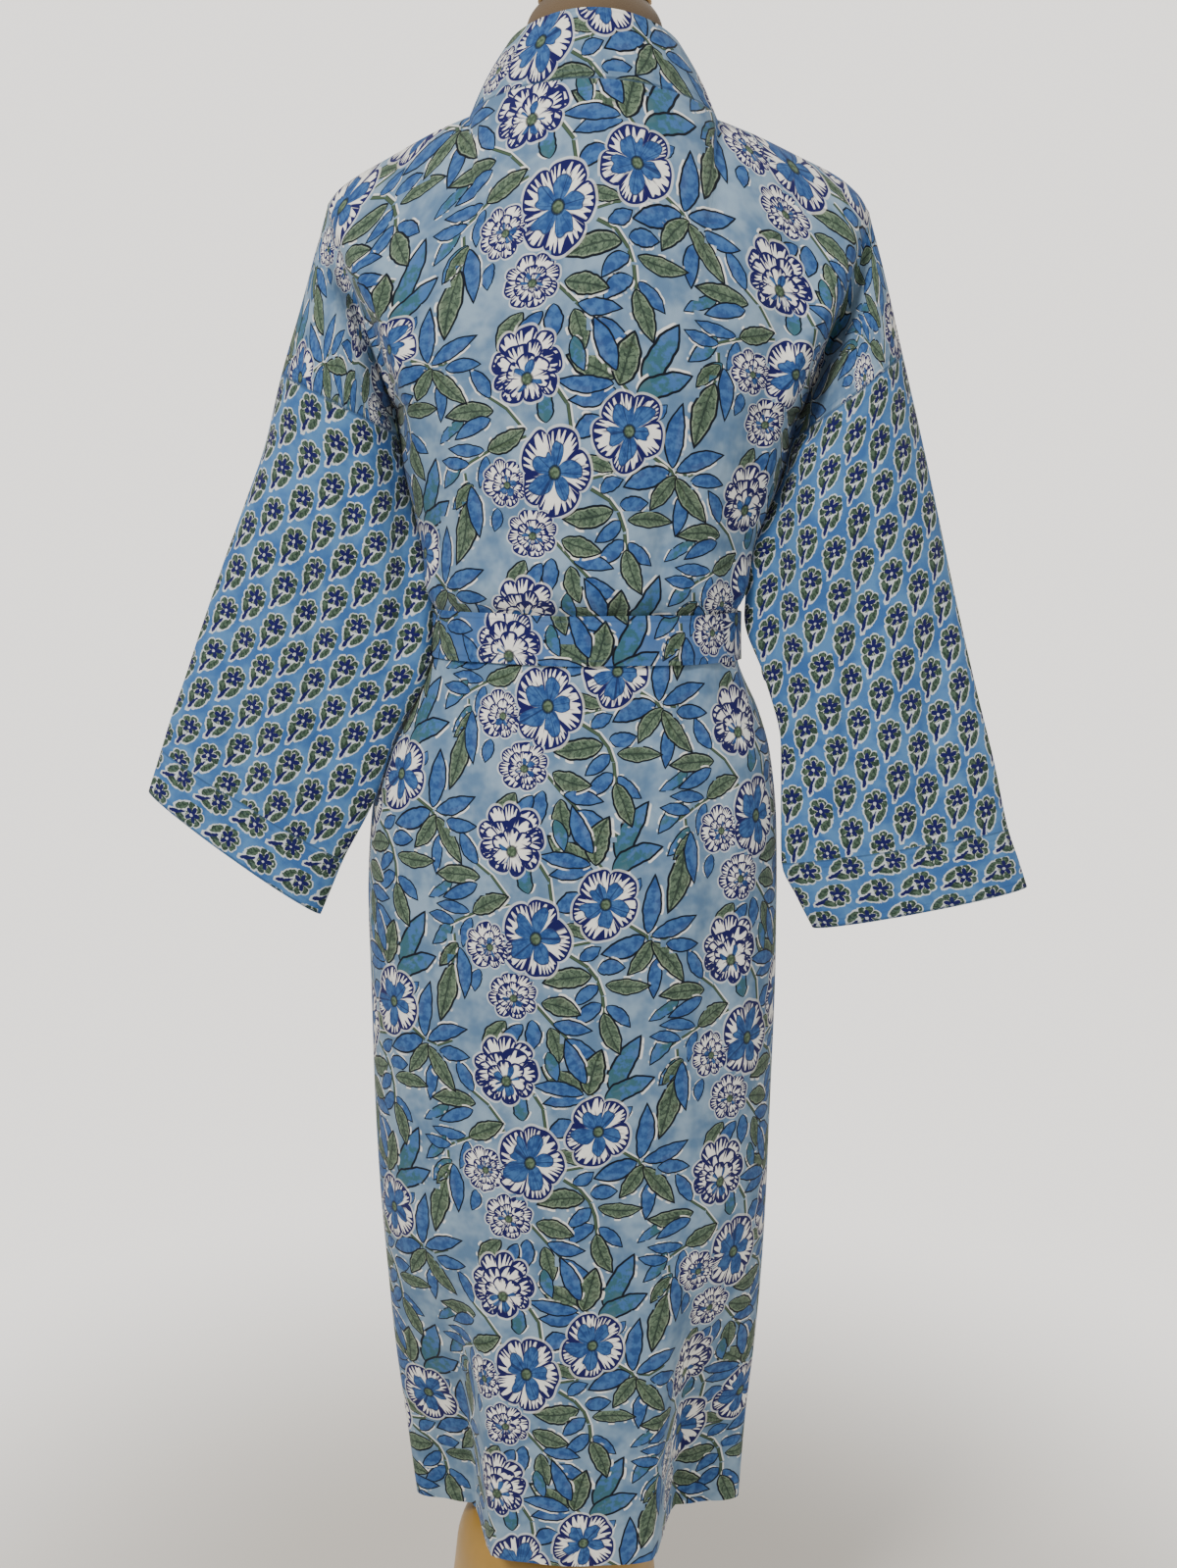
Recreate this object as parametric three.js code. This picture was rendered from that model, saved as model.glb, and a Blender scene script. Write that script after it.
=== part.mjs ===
// A belted cotton kimono robe on a limbless dress form and its stand.
// Millimetres, +Z up, the floor at z = 0. The robe's front faces -Y, its left side is +X.
import * as THREE from 'three';

// Driving sizes
const WALL = 1.5; // cloth thickness
const SEAM_GAP = 0.3; // between two pieces at a seam
const WRAP_LIFT = 4; // how far the over front lies outside the under front
const WRAP_FULL = 0.68; // share of the half width up to which it keeps that distance
const WRAP_FADE_LOW = 1240; // above this height it comes back to the under front's surface
const WRAP_FADE = 130;
const HEM_Z = 250;
const ARMPIT_Z = 1230;
const SECTION_POWER = 2.25; // of the body's rounded sections
const NECK_HALF = 100; // half width of the neck opening at the shoulder line
const NECK_SIDE_Y = 8;
const NECK_SIDE_Z = 1461;
const NECK_BACK_Y = 68;
const NECK_BACK_Z = 1477;
const NECK_FRONT_Y = -45; // the front's cloth would reach here if it had no opening
const NECK_FRONT_Z = 1440;
const BELT_LOW = 1026;
const BELT_HIGH = 1067;
const BELT_WALL = 2.4;
const BELT_CLEARANCE = 0.9; // between the belt's flat facets and the cloth under them
const COLLAR_WIDTH = 56;
const STAND_X = 20; // the post and the foot stand a little to the left of the middle
const ORIGIN_X = 4; // moves the whole part, so that the origin is under the middle of its outline
const ROUNDING = 2.3; // how the cloth turns from the back or front to the shoulder line
const NECK_ROUND = 1;
const SHOULDER_ROUND = 0.62;
const ARMHOLE_SPREAD = 9; // how narrow the stretch is where the body turns into the armhole

// Level sections of the cloth body. left, right: half widths; back, front: half depths.
const BODY = [
  { z: 250, left: 148, right: 150, back: 112, front: 116 },
  { z: 330, left: 158, right: 154, back: 116, front: 120 },
  { z: 405, left: 167, right: 160, back: 120, front: 124 },
  { z: 480, left: 173, right: 164, back: 122, front: 126 },
  { z: 560, left: 179, right: 166, back: 124, front: 128 },
  { z: 650, left: 183, right: 167, back: 126, front: 130 },
  { z: 740, left: 185, right: 168, back: 128, front: 130 },
  { z: 820, left: 187, right: 167, back: 128, front: 128 },
  { z: 885, left: 184, right: 165, back: 124, front: 122 },
  { z: 945, left: 170, right: 158, back: 114, front: 112 },
  { z: 985, left: 150, right: 146, back: 104, front: 103 },
  { z: 1014, left: 136, right: 132, back: 99, front: 99 },
  { z: 1026, left: 132, right: 128, back: 96, front: 96 },
  { z: 1067, left: 131, right: 127, back: 96, front: 96 },
  { z: 1084, left: 136, right: 133, back: 103, front: 101 },
  { z: 1120, left: 141, right: 140, back: 106, front: 106 },
  { z: 1175, left: 153, right: 160, back: 108, front: 112 },
  { z: 1230, left: 163, right: 176, back: 108, front: 116 },
];

// Heights of the shoulder line, along it from the neck opening (0) to the shoulder tip (1).
const SHOULDER = [
  { along: 0, left: NECK_SIDE_Z, right: NECK_SIDE_Z },
  { along: 0.26, left: 1448, right: 1449 },
  { along: 0.54, left: 1431, right: 1434 },
  { along: 0.78, left: 1416, right: 1420 },
  { along: 0.92, left: 1404, right: 1406 },
  { along: 1, left: 1393, right: 1392 },
];

// Rings down each arm. outX, outZ: the upper edge; inX, inZ: the underarm edge; y: the ring's middle;
// back, front: how far it bulges to each side.
const ARM = {
  left: [
    { name: 'armhole', outX: 216, outZ: 1393, inX: 163, inZ: 1230, y: 0, back: 44, front: 44 },
    { name: 'drop', outX: 236, outZ: 1318, inX: 171, inZ: 1226, y: 2, back: 54, front: 52 },
    { name: 'seam', outX: 254, outZ: 1256, inX: 180, inZ: 1216, y: 5, back: 58, front: 56 },
    { name: 'upper', outX: 268, outZ: 1200, inX: 168, inZ: 1163, y: 12, back: 50, front: 50 },
    { name: 'upper', outX: 285, outZ: 1148, inX: 156, inZ: 1112, y: 20, back: 42, front: 42 },
    { name: 'middle', outX: 303, outZ: 1098, inX: 146, inZ: 1064, y: 27, back: 33, front: 34 },
    { name: 'middle', outX: 320, outZ: 1048, inX: 152, inZ: 1013, y: 33, back: 27, front: 28 },
    { name: 'lower', outX: 335, outZ: 1003, inX: 166, inZ: 962, y: 38, back: 24, front: 24 },
    { name: 'lower', outX: 346, outZ: 972, inX: 182, inZ: 908, y: 42, back: 22, front: 21 },
    { name: 'cuff seam', outX: 354, outZ: 948, inX: 203, inZ: 856, y: 43, back: 21, front: 20 },
    { name: 'cuff', outX: 360, outZ: 930, inX: 213, inZ: 832, y: 43, back: 21, front: 20 },
    { name: 'cuff edge', outX: 366, outZ: 912, inX: 223, inZ: 808, y: 43, back: 22, front: 20 },
  ],
  right: [
    { name: 'armhole', outX: 226, outZ: 1392, inX: 176, inZ: 1230, y: 0, back: 44, front: 44 },
    { name: 'drop', outX: 243, outZ: 1330, inX: 182, inZ: 1226, y: 2, back: 54, front: 52 },
    { name: 'seam', outX: 256, outZ: 1278, inX: 188, inZ: 1218, y: 5, back: 58, front: 56 },
    { name: 'upper', outX: 269, outZ: 1228, inX: 187, inZ: 1164, y: 12, back: 50, front: 54 },
    { name: 'upper', outX: 283, outZ: 1172, inX: 184, inZ: 1112, y: 18, back: 42, front: 46 },
    { name: 'middle', outX: 297, outZ: 1116, inX: 179, inZ: 1063, y: 25, back: 34, front: 38 },
    { name: 'middle', outX: 311, outZ: 1058, inX: 173, inZ: 1012, y: 32, back: 28, front: 30 },
    { name: 'lower', outX: 326, outZ: 1000, inX: 167, inZ: 958, y: 39, back: 24, front: 24 },
    { name: 'lower', outX: 341, outZ: 945, inX: 164, inZ: 908, y: 45, back: 21, front: 21 },
    { name: 'cuff seam', outX: 355, outZ: 890, inX: 166, inZ: 858, y: 46, back: 20, front: 19 },
    { name: 'cuff', outX: 365, outZ: 864, inX: 179, inZ: 830, y: 46, back: 20, front: 19 },
    { name: 'cuff edge', outX: 374, outZ: 840, inX: 194, inZ: 802, y: 45, back: 21, front: 19 },
  ],
};
const SEAM_RING = 2;
const CUFF_RING = 9;

// The hem's flutes: a middle fold stands out and the cloth beside it falls back.
// inner, outer: where its wall starts and ends; share: how much of the depth the sides lose.
const FLUTE_TOP = 560;
const FLUTES = [
  { side: 1, sign: 1, innerHem: 72, outerHem: 97, innerTop: 84, outerTop: 116, share: 0.78 },
  { side: 1, sign: -1, innerHem: 66, outerHem: 92, innerTop: 78, outerTop: 108, share: 0.8 },
  { side: -1, sign: 1, innerHem: 108, outerHem: 134, innerTop: 112, outerTop: 142, share: 0.42 },
  { side: -1, sign: -1, innerHem: 106, outerHem: 132, innerTop: 108, outerTop: 138, share: 0.46 },
];

// Soft vertical folds in the cloth body. at, width: fractions of the half width; depth: in millimetres,
// inwards; low, high: the heights where the fold ends.
const FOLDS = [
  { side: 1, at: 0.84, width: 0.1, depth: 7, low: 1060, high: 1330 },
  { side: 1, at: -0.8, width: 0.1, depth: 8, low: 1060, high: 1330 },
  { side: 1, at: 0.5, width: 0.09, depth: 3.5, low: 1060, high: 1200 },
  { side: 1, at: -0.45, width: 0.1, depth: 3.5, low: 1060, high: 1190 },
  { side: 1, at: 0.7, width: 0.09, depth: 6, low: 640, high: 1040 },
  { side: 1, at: -0.66, width: 0.09, depth: 6, low: 600, high: 1040 },
  { side: -1, at: 0.78, width: 0.1, depth: 7, low: 1060, high: 1330 },
  { side: -1, at: -0.76, width: 0.1, depth: 7, low: 1060, high: 1330 },
  { side: -1, at: 0.72, width: 0.1, depth: 7, low: 560, high: 1040 },
  { side: -1, at: -0.7, width: 0.1, depth: 7, low: 560, high: 1040 },
];

// Where each front panel's edge runs. edge: its distance past the middle, towards the other side.
const FRONT_EDGE = [
  { z: 250, edge: 42 },
  { z: 650, edge: 40 },
  { z: 1026, edge: 30 },
  { z: 1067, edge: 28 },
  { z: 1150, edge: 3 },
  { z: 1230, edge: -24 },
  { z: 1330, edge: -58 },
  { z: 1420, edge: -88 },
  { z: 1461, edge: -100 },
];

// How far the dress form lies inside the cloth.
const FORM_INSET = [
  { z: 790, inset: 24 },
  { z: 885, inset: 20 },
  { z: 985, inset: 11 },
  { z: 1026, inset: 7 },
  { z: 1067, inset: 7 },
  { z: 1120, inset: 12 },
  { z: 1230, inset: 15 },
];
const FORM_LEVELS = [790, 840, 890, 945, 985, 1026, 1067, 1115, 1170, 1230];
const FORM_SEAT = 2; // below the shoulder cloth's outer face
const FORM_TIP_INSET = 22; // at the shoulder tips
const FORM_PLATE = 0.8; // size of its closed arm plates, as a share of the armholes
const FORM_TOP = 1478;
const FORM_NECK_X = 58;
const FORM_NECK_Y = 52;

// Turned pieces: their profiles from the middle out and back. r: radius, z: height.
const NECK_PROFILE = [
  { r: 0, z: 1478.3 },
  { r: 56, z: 1478.3 },
  { r: 55.5, z: 1502 },
  { r: 56, z: 1526 },
  { r: 52, z: 1541 },
  { r: 44, z: 1548.5 },
  { r: 0, z: 1548.5 },
];
const RIM_PROFILE = [
  { r: 0, z: 1548.8 },
  { r: 44, z: 1548.8 },
  { r: 46, z: 1551 },
  { r: 44, z: 1553.2 },
  { r: 0, z: 1553.2 },
];
const CAP_PROFILE = [
  { r: 0, z: 1553.5 },
  { r: 41, z: 1553.5 },
  { r: 41, z: 1558 },
  { r: 35, z: 1567 },
  { r: 20, z: 1574 },
  { r: 0, z: 1577 },
];
const FOOT_PROFILE = [
  { r: 0, z: 0 },
  { r: 150, z: 0 },
  { r: 151, z: 12 },
  { r: 146, z: 22 },
  { r: 120, z: 52 },
  { r: 103, z: 110 },
  { r: 94, z: 174 },
  { r: 90, z: 205 },
  { r: 84, z: 228 },
  { r: 76, z: 238 },
  { r: 60, z: 243 },
  { r: 0, z: 243 },
];
const NECK_FLAT = 0.9; // the neck is this much shallower than it is wide
const POST_RADIUS = 14;

// The belt's knot and its two free ends. top, bottom: x of the middle line; length: from the knot down.
const KNOT = { share: -0.18, z: 1046, width: 50, depth: 23, height: 46 };
const TAILS = [
  { name: 'belt_end_left', top: -8, bottom: 14, length: 300 },
  { name: 'belt_end_right', top: -38, bottom: -66, length: 335 },
];
const TAIL_HALF = 20;
const TAIL_TOP_HALF = 10;

// Materials
const paint = (color, roughness) => new THREE.MeshStandardMaterial({ color, roughness, metalness: 0 });
const flowerPrint = () => paint(0x8fb2cd, 0.85);
const sprigPrint = () => paint(0x5f8fc4, 0.85);
const formCloth = () => paint(0x6d6150, 0.9);
const ochre = () => paint(0xb08a3c, 0.45);
const gold = () => new THREE.MeshStandardMaterial({ color: 0xb58a4a, roughness: 0.35, metalness: 0.8 });
const darkWood = () => paint(0x40241b, 0.4);

// Small helpers
const lerp = (a, b, t) => a + (b - a) * t;
const clamp01 = (t) => Math.min(1, Math.max(0, t));
const heightOf = (level) => (level <= ARMPIT_Z ? level : lerp(ARMPIT_Z, NECK_SIDE_Z, level - ARMPIT_Z));
const smooth = (t) => clamp01(t) ** 2 * (3 - 2 * clamp01(t));

// Reads one column of a table at a value of its first column, with smooth slopes between rows.
function read(table, key, column, value) {
  const last = table.length - 1;
  if (value <= table[0][key]) return table[0][column];
  if (value >= table[last][key]) return table[last][column];
  let i = 0;
  while (table[i + 1][key] < value) i += 1;
  const slope = (a, b) => (table[b][column] - table[a][column]) / (table[b][key] - table[a][key]);
  const ahead = slope(i, i + 1);
  const bend = (one, two) => (one * two <= 0 ? 0 : (2 * one * two) / (one + two));
  const start = i > 0 ? bend(slope(i - 1, i), ahead) : ahead;
  const end = i + 2 <= last ? bend(ahead, slope(i + 1, i + 2)) : ahead;
  const span = table[i + 1][key] - table[i][key];
  const t = (value - table[i][key]) / span;
  return (
    (2 * t ** 3 - 3 * t ** 2 + 1) * table[i][column] +
    (t ** 3 - 2 * t ** 2 + t) * span * start +
    (3 * t ** 2 - 2 * t ** 3) * table[i + 1][column] +
    (t ** 3 - t ** 2) * span * end
  );
}

// The cloth body. across runs from -1 at the right side seam to 1 at the left one.
// level is a height up to the armpits, and above them ARMPIT_Z plus a share (0 to 1) of the way to the top.
const sideName = (across) => (across >= 0 ? 'left' : 'right');
const shareOf = (across) => Math.sign(across) * Math.sin((Math.abs(across) * Math.PI) / 2) ** (2 / SECTION_POWER);
const acrossOf = (share) => {
  const whole = Math.min(1, Math.abs(share));
  return (Math.sign(share) * Math.asin(whole ** (SECTION_POWER / 2)) * 2) / Math.PI;
};

function fluteShare(side, x, z) {
  const grown = smooth((FLUTE_TOP - z) / (FLUTE_TOP - HEM_Z));
  if (grown === 0) return 0;
  const flute = FLUTES.find((row) => row.side === side && row.sign === (x >= 0 ? 1 : -1));
  const inner = lerp(flute.innerTop, flute.innerHem, grown);
  const outer = lerp(flute.outerTop, flute.outerHem, grown);
  return flute.share * grown * smooth((Math.abs(x) - inner) / (outer - inner));
}

function foldDepth(side, share, z) {
  let depth = 0;
  for (const fold of FOLDS) {
    if (fold.side !== side || z <= fold.low || z >= fold.high) continue;
    const along = Math.sin((Math.PI * (z - fold.low)) / (fold.high - fold.low));
    depth += fold.depth * along * Math.exp(-(((share - fold.at) / fold.width) ** 2));
  }
  return depth;
}

function ringPoint(across, side, z) {
  const share = shareOf(across);
  const half = read(BODY, 'z', sideName(across), z);
  const depth = read(BODY, 'z', side > 0 ? 'back' : 'front', z);
  const x = half * share;
  const round = Math.cos((across * Math.PI) / 2) ** (2 / SECTION_POWER);
  const y = depth * round * (1 - fluteShare(side, x, z)) - foldDepth(side, share, z) * Math.sqrt(round);
  return new THREE.Vector3(x, side * y, z);
}

// The upper edge of the back and the fronts: the neck seam, then the shoulder line.
function topPoint(share, side) {
  const name = sideName(share);
  const tip = ARM[name][0].outX;
  const x = share * tip;
  if (Math.abs(x) < NECK_HALF) {
    const round = 1 - (x / NECK_HALF) ** 2;
    const y = lerp(NECK_SIDE_Y, side > 0 ? NECK_BACK_Y : NECK_FRONT_Y, Math.sqrt(round));
    return new THREE.Vector3(x, y, lerp(NECK_SIDE_Z, side > 0 ? NECK_BACK_Z : NECK_FRONT_Z, round));
  }
  const y = NECK_SIDE_Y * (1 - smooth((Math.abs(x) - NECK_HALF) / NECK_HALF));
  const along = (Math.abs(x) - NECK_HALF) / (tip - NECK_HALF);
  return new THREE.Vector3(x, y, read(SHOULDER, 'along', name, along));
}

// How much of the depth at the armpits is left at a share of the way up.
function bulgeAt(share, rise) {
  const overShoulder = smooth((Math.abs(share) - 0.2) / 0.4);
  return (1 - rise ** ROUNDING) ** lerp(NECK_ROUND, SHOULDER_ROUND, overShoulder);
}

// How far an armhole opens from its edge, at a share of the way up.
const armholeOpen = (rise) => 2 * Math.sqrt(rise * (1 - rise));

function upperPoint(across, side, rise) {
  const share = shareOf(across);
  const foot = ringPoint(across, side, ARMPIT_Z);
  const top = topPoint(share, side);
  const bulge = bulgeAt(share, rise);
  const z = lerp(foot.z, top.z, rise);
  const arm = ARM[sideName(across)][0];
  const atEdge = Math.abs(share) ** ARMHOLE_SPREAD;
  const armhole = armholeOpen(rise) * side * (side > 0 ? arm.back : arm.front);
  const fade = 1 - rise;
  const fold = foldDepth(side, share, z) - foldDepth(side, share, ARMPIT_Z) * fade;
  const y = lerp(top.y, foot.y, bulge) - side * fold * Math.sqrt(Math.max(0, 1 - share ** 2));
  return new THREE.Vector3(lerp(foot.x, top.x, rise), y + atEdge * armhole, z);
}

function bodyPoint(across, side, level) {
  if (level <= ARMPIT_Z) return ringPoint(across, side, level);
  return upperPoint(across, side, Math.min(1, level - ARMPIT_Z));
}

// A body point moved outwards, square to the cloth.
function liftedPoint(across, side, level, lift) {
  const point = bodyPoint(across, side, level);
  if (lift === 0) return point;
  const step = 0.01;
  const a = bodyPoint(across - step, side, level);
  const b = bodyPoint(across + step, side, level);
  const stepUp = level < ARMPIT_Z ? 3 : 0.02;
  const low = bodyPoint(across, side, level - stepUp);
  const high = bodyPoint(across, side, Math.min(level + stepUp, ARMPIT_Z + 1));
  const normal = b.sub(a).cross(high.sub(low)).normalize().multiplyScalar(-side);
  return point.addScaledVector(normal, lift);
}

// One ring point of an arm. rise: 0 at the underarm edge, 1 at the upper edge.
function armPoint(name, ring, side, rise) {
  const row = ARM[name][ring];
  const sign = name === 'left' ? 1 : -1;
  const bulge = side * armholeOpen(rise) * (side > 0 ? row.back : row.front);
  return new THREE.Vector3(sign * lerp(row.inX, row.outX, rise), row.y + bulge, lerp(row.inZ, row.outZ, rise));
}

// Rows and columns shared by all cloth pieces
const LOW_LEVELS = [
  250, 290, 335, 385, 440, 500, 560, 640, 730, 820, 890, 945, 985, 1012, 1026, 1067, 1084, 1115, 1155, 1195, 1230,
];
const UPPER_STEPS = 9;
const RISES = Array.from({ length: UPPER_STEPS + 1 }, (_, k) => (1 - Math.cos((Math.PI * k) / UPPER_STEPS)) / 2);
const LEVELS = [...LOW_LEVELS, ...RISES.slice(1).map((rise) => ARMPIT_Z + rise)];
const SHOULDER_COLUMNS = 10;
const NECK_COLUMNS = 8;
const neckAcross = (name) => acrossOf(NECK_HALF / ARM[name][0].outX);
const steps = (from, to, count) => Array.from({ length: count }, (_, k) => lerp(from, to, k / count));
const BACK_COLUMNS = [
  ...steps(1, neckAcross('left'), SHOULDER_COLUMNS),
  ...steps(neckAcross('left'), -neckAcross('right'), NECK_COLUMNS),
  ...steps(-neckAcross('right'), -1, SHOULDER_COLUMNS),
  -1,
];

// A grid is a list of rows of points. Its faces point to the side that the order of the corners gives.
function gridFaces(grid, flip) {
  const faces = [];
  for (let i = 0; i + 1 < grid.length; i += 1) {
    for (let j = 0; j + 1 < grid[i].length; j += 1) {
      const face = [grid[i][j], grid[i][j + 1], grid[i + 1][j + 1], grid[i + 1][j]];
      faces.push(flip ? face.reverse() : face);
    }
  }
  return faces;
}

const keyOf = (p) => `${Math.round(p.x * 50)},${Math.round(p.y * 50)},${Math.round(p.z * 50)}`;

// Two triangles for a four-sided face, without those that have no area.
function triangles(face) {
  const found = [];
  for (const [a, b, c] of [[0, 1, 2], [0, 2, 3]]) {
    const keys = new Set([keyOf(face[a]), keyOf(face[b]), keyOf(face[c])]);
    if (keys.size === 3) found.push([face[a], face[b], face[c]]);
  }
  return found;
}

const faceNormal = ([a, b, c]) => b.clone().sub(a).cross(c.clone().sub(a));

// The cloth's direction at each point, shared by the pieces that meet there.
const clothNormals = new Map();
function shareNormals(faces) {
  for (const triangle of faces.flatMap(triangles)) {
    const normal = faceNormal(triangle);
    for (const point of triangle) {
      const key = keyOf(point);
      if (!clothNormals.has(key)) clothNormals.set(key, new THREE.Vector3());
      clothNormals.get(key).add(normal);
    }
  }
}

// Points at one place are made one point, and triangles become lists of three point numbers.
function joined(faces) {
  const index = new Map();
  const points = [];
  const numberOf = (p) => {
    const key = keyOf(p);
    if (!index.has(key)) {
      index.set(key, points.length);
      points.push(p.clone());
    }
    return index.get(key);
  };
  return { points, outer: faces.flatMap(triangles).map((triangle) => triangle.map(numberOf)) };
}

// A closed cloth wall on the inner side of its outer faces, drawn in by half a seam gap at every edge.
function clothWall(faces, thickness = WALL) {
  const { points, outer } = joined(faces);
  const edges = new Map();
  for (const triangle of outer) {
    for (let k = 0; k < 3; k += 1) {
      edges.set(`${triangle[k]},${triangle[(k + 1) % 3]}`, [triangle[k], triangle[(k + 1) % 3], triangle]);
    }
  }
  const border = [...edges.values()].filter(([a, b]) => !edges.has(`${b},${a}`));
  const inward = points.map(() => new THREE.Vector3());
  for (const [a, b] of border) {
    const normal = new THREE.Vector3();
    for (const point of [a, b]) normal.add(clothNormals.get(keyOf(points[point])));
    const across = normal.cross(points[b].clone().sub(points[a])).normalize();
    inward[a].add(across);
    inward[b].add(across);
  }
  const normals = points.map((p) => clothNormals.get(keyOf(p)).clone().normalize());
  const outside = points.map((p, i) => p.clone().addScaledVector(inward[i].normalize(), SEAM_GAP / 2));
  const inside = outside.map((p, i) => p.clone().addScaledVector(normals[i], -thickness));
  const count = points.length;
  const all = [...outer];
  for (const [a, b, c] of outer) all.push([c + count, b + count, a + count]);
  for (const [a, b] of border) all.push([b, a, a + count], [b, a + count, b + count]);
  return solid([...outside, ...inside], all);
}

function solid(points, faces) {
  const geometry = new THREE.BufferGeometry();
  geometry.setAttribute('position', new THREE.Float32BufferAttribute(points.flatMap((p) => [p.x, p.y, p.z]), 3));
  geometry.setIndex(faces.flat());
  geometry.computeVertexNormals();
  return geometry;
}

// The back: its body, then the back halves of the two drop shoulders.
function dropGrid(name, side) {
  const grid = [];
  for (let ring = 0; ring <= SEAM_RING; ring += 1) grid.push(RISES.map((rise) => armPoint(name, ring, side, rise)));
  return grid;
}

function backFaces() {
  const rows = LEVELS.map((level) => BACK_COLUMNS.map((across) => bodyPoint(across, 1, level)));
  return [
    ...gridFaces(rows, false),
    ...gridFaces(dropGrid('left', 1), false),
    ...gridFaces(dropGrid('right', 1), true),
  ];
}

// How far the wrapped-over front and its band lie outside the under one.
function wrapLift(share, level) {
  const height = heightOf(level);
  const towardsSide = smooth((share - WRAP_FULL) / (1 - WRAP_FULL));
  return WRAP_LIFT * (1 - towardsSide) * (1 - smooth((height - WRAP_FADE_LOW) / WRAP_FADE));
}

// The share of the half width at which a front's edge lies, in that front's own direction.
function edgeShare(name, level, past) {
  const height = heightOf(level);
  const x = -read(FRONT_EDGE, 'z', 'edge', height) - past;
  const other = name === 'left' ? 'right' : 'left';
  const reach = x >= 0 ? name : other;
  const foot = read(BODY, 'z', reach, Math.min(level, ARMPIT_Z));
  const half = level <= ARMPIT_Z ? foot : lerp(foot, ARM[reach][0].outX, level - ARMPIT_Z);
  return x / half;
}

function frontPoint(name, share, level) {
  const sign = name === 'left' ? 1 : -1;
  const lift = name === 'left' ? wrapLift(share, level) : 0;
  return liftedPoint(sign * acrossOf(share), -1, level, lift);
}

function frontFaces(name) {
  const rows = LEVELS.map((level) => {
    const edge = acrossOf(edgeShare(name, level, 0));
    const inside = steps(edge, 1, SHOULDER_COLUMNS).map((across) => frontPoint(name, shareOf(across), level));
    return [...inside, bodyPoint(name === 'left' ? 1 : -1, -1, level)];
  });
  const flip = name === 'right';
  return [...gridFaces(rows, flip), ...gridFaces(dropGrid(name, -1), !flip)];
}

// Sleeve and cuff tubes
function armFaces(name, firstRing, lastRing) {
  const grid = [];
  for (let ring = firstRing; ring <= lastRing; ring += 1) {
    const back = RISES.map((rise) => armPoint(name, ring, 1, rise));
    const front = RISES.map((rise) => armPoint(name, ring, -1, rise)).reverse();
    grid.push([...back, ...front.slice(1)]);
  }
  return gridFaces(grid, name === 'right');
}

// The collar: a stand round the neck that runs down both front edges to the hem.
const COLLAR_STEPS = 3;
function standEdge(turn) {
  const x = 70 * Math.sin(turn);
  const y = lerp(2, 60, Math.max(0, Math.cos(turn)) ** 0.9);
  return new THREE.Vector3(x, y, lerp(1515, 1531, Math.cos(turn) ** 2));
}

function collarFrontRow(name, level) {
  const sign = name === 'left' ? 1 : -1;
  const height = heightOf(level);
  const standing = smooth((height - 1330) / (NECK_SIDE_Z - 1330));
  const seam = frontPoint(name, edgeShare(name, level, 0), level);
  const neckSeam = new THREE.Vector3(sign * NECK_HALF, NECK_SIDE_Y, NECK_SIDE_Z);
  const rise = standEdge((sign * Math.PI) / 2).sub(neckSeam);
  const row = [seam];
  for (let k = 1; k <= COLLAR_STEPS; k += 1) {
    const past = (COLLAR_WIDTH * k) / COLLAR_STEPS;
    const flat = frontPoint(name, edgeShare(name, level, past), level).sub(seam);
    const upright = rise.clone().multiplyScalar(k / COLLAR_STEPS);
    row.push(seam.clone().add(flat.lerp(upright, standing)));
  }
  return row;
}

function collarBackRow(across) {
  const share = shareOf(across);
  const seam = topPoint(share, 1);
  const top = standEdge(Math.asin(clamp01(Math.abs(seam.x) / NECK_HALF)) * Math.sign(share));
  return Array.from({ length: COLLAR_STEPS + 1 }, (_, k) => seam.clone().lerp(top, k / COLLAR_STEPS));
}

function collarFaces() {
  const down = LEVELS.slice(0, -1);
  const neck = BACK_COLUMNS.slice(SHOULDER_COLUMNS + 1, SHOULDER_COLUMNS + NECK_COLUMNS);
  const leftEnd = collarFrontRow('left', ARMPIT_Z + 1);
  const rightEnd = collarFrontRow('right', ARMPIT_Z + 1);
  const rows = [
    ...down.map((level) => collarFrontRow('left', level)),
    leftEnd,
    ...neck.map(collarBackRow),
    rightEnd,
    ...[...down].reverse().map((level) => collarFrontRow('right', level)),
  ];
  return gridFaces(rows, true);
}

// The belt: a flat band round the waist, on the wrapped fronts.
const BELT_LEVELS = [BELT_LOW + 1, 1040, 1053, BELT_HIGH - 1];
const BELT_COLUMNS = 24;
function overWrap(share, level) {
  const pastEdge = smooth((-share - WRAP_FULL - 0.04) / 0.25);
  return wrapLift(share, level) * (1 - pastEdge);
}

function outsidePoint(across, side, level, lift) {
  if (Math.abs(across) < 1) return liftedPoint(across, side, level, lift);
  const point = bodyPoint(across, side, level);
  point.x += Math.sign(across) * lift;
  return point;
}

function beltFaces() {
  const rows = BELT_LEVELS.map((level) => {
    const row = [];
    for (const side of [1, -1]) {
      for (const turn of steps(1, -1, BELT_COLUMNS)) {
        const across = side * turn;
        const wrap = side < 0 ? overWrap(shareOf(across), level) : 0;
        row.push(outsidePoint(across, side, level, wrap + BELT_CLEARANCE + BELT_WALL));
      }
    }
    return [...row, row[0]];
  });
  return gridFaces(rows, false);
}

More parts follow.
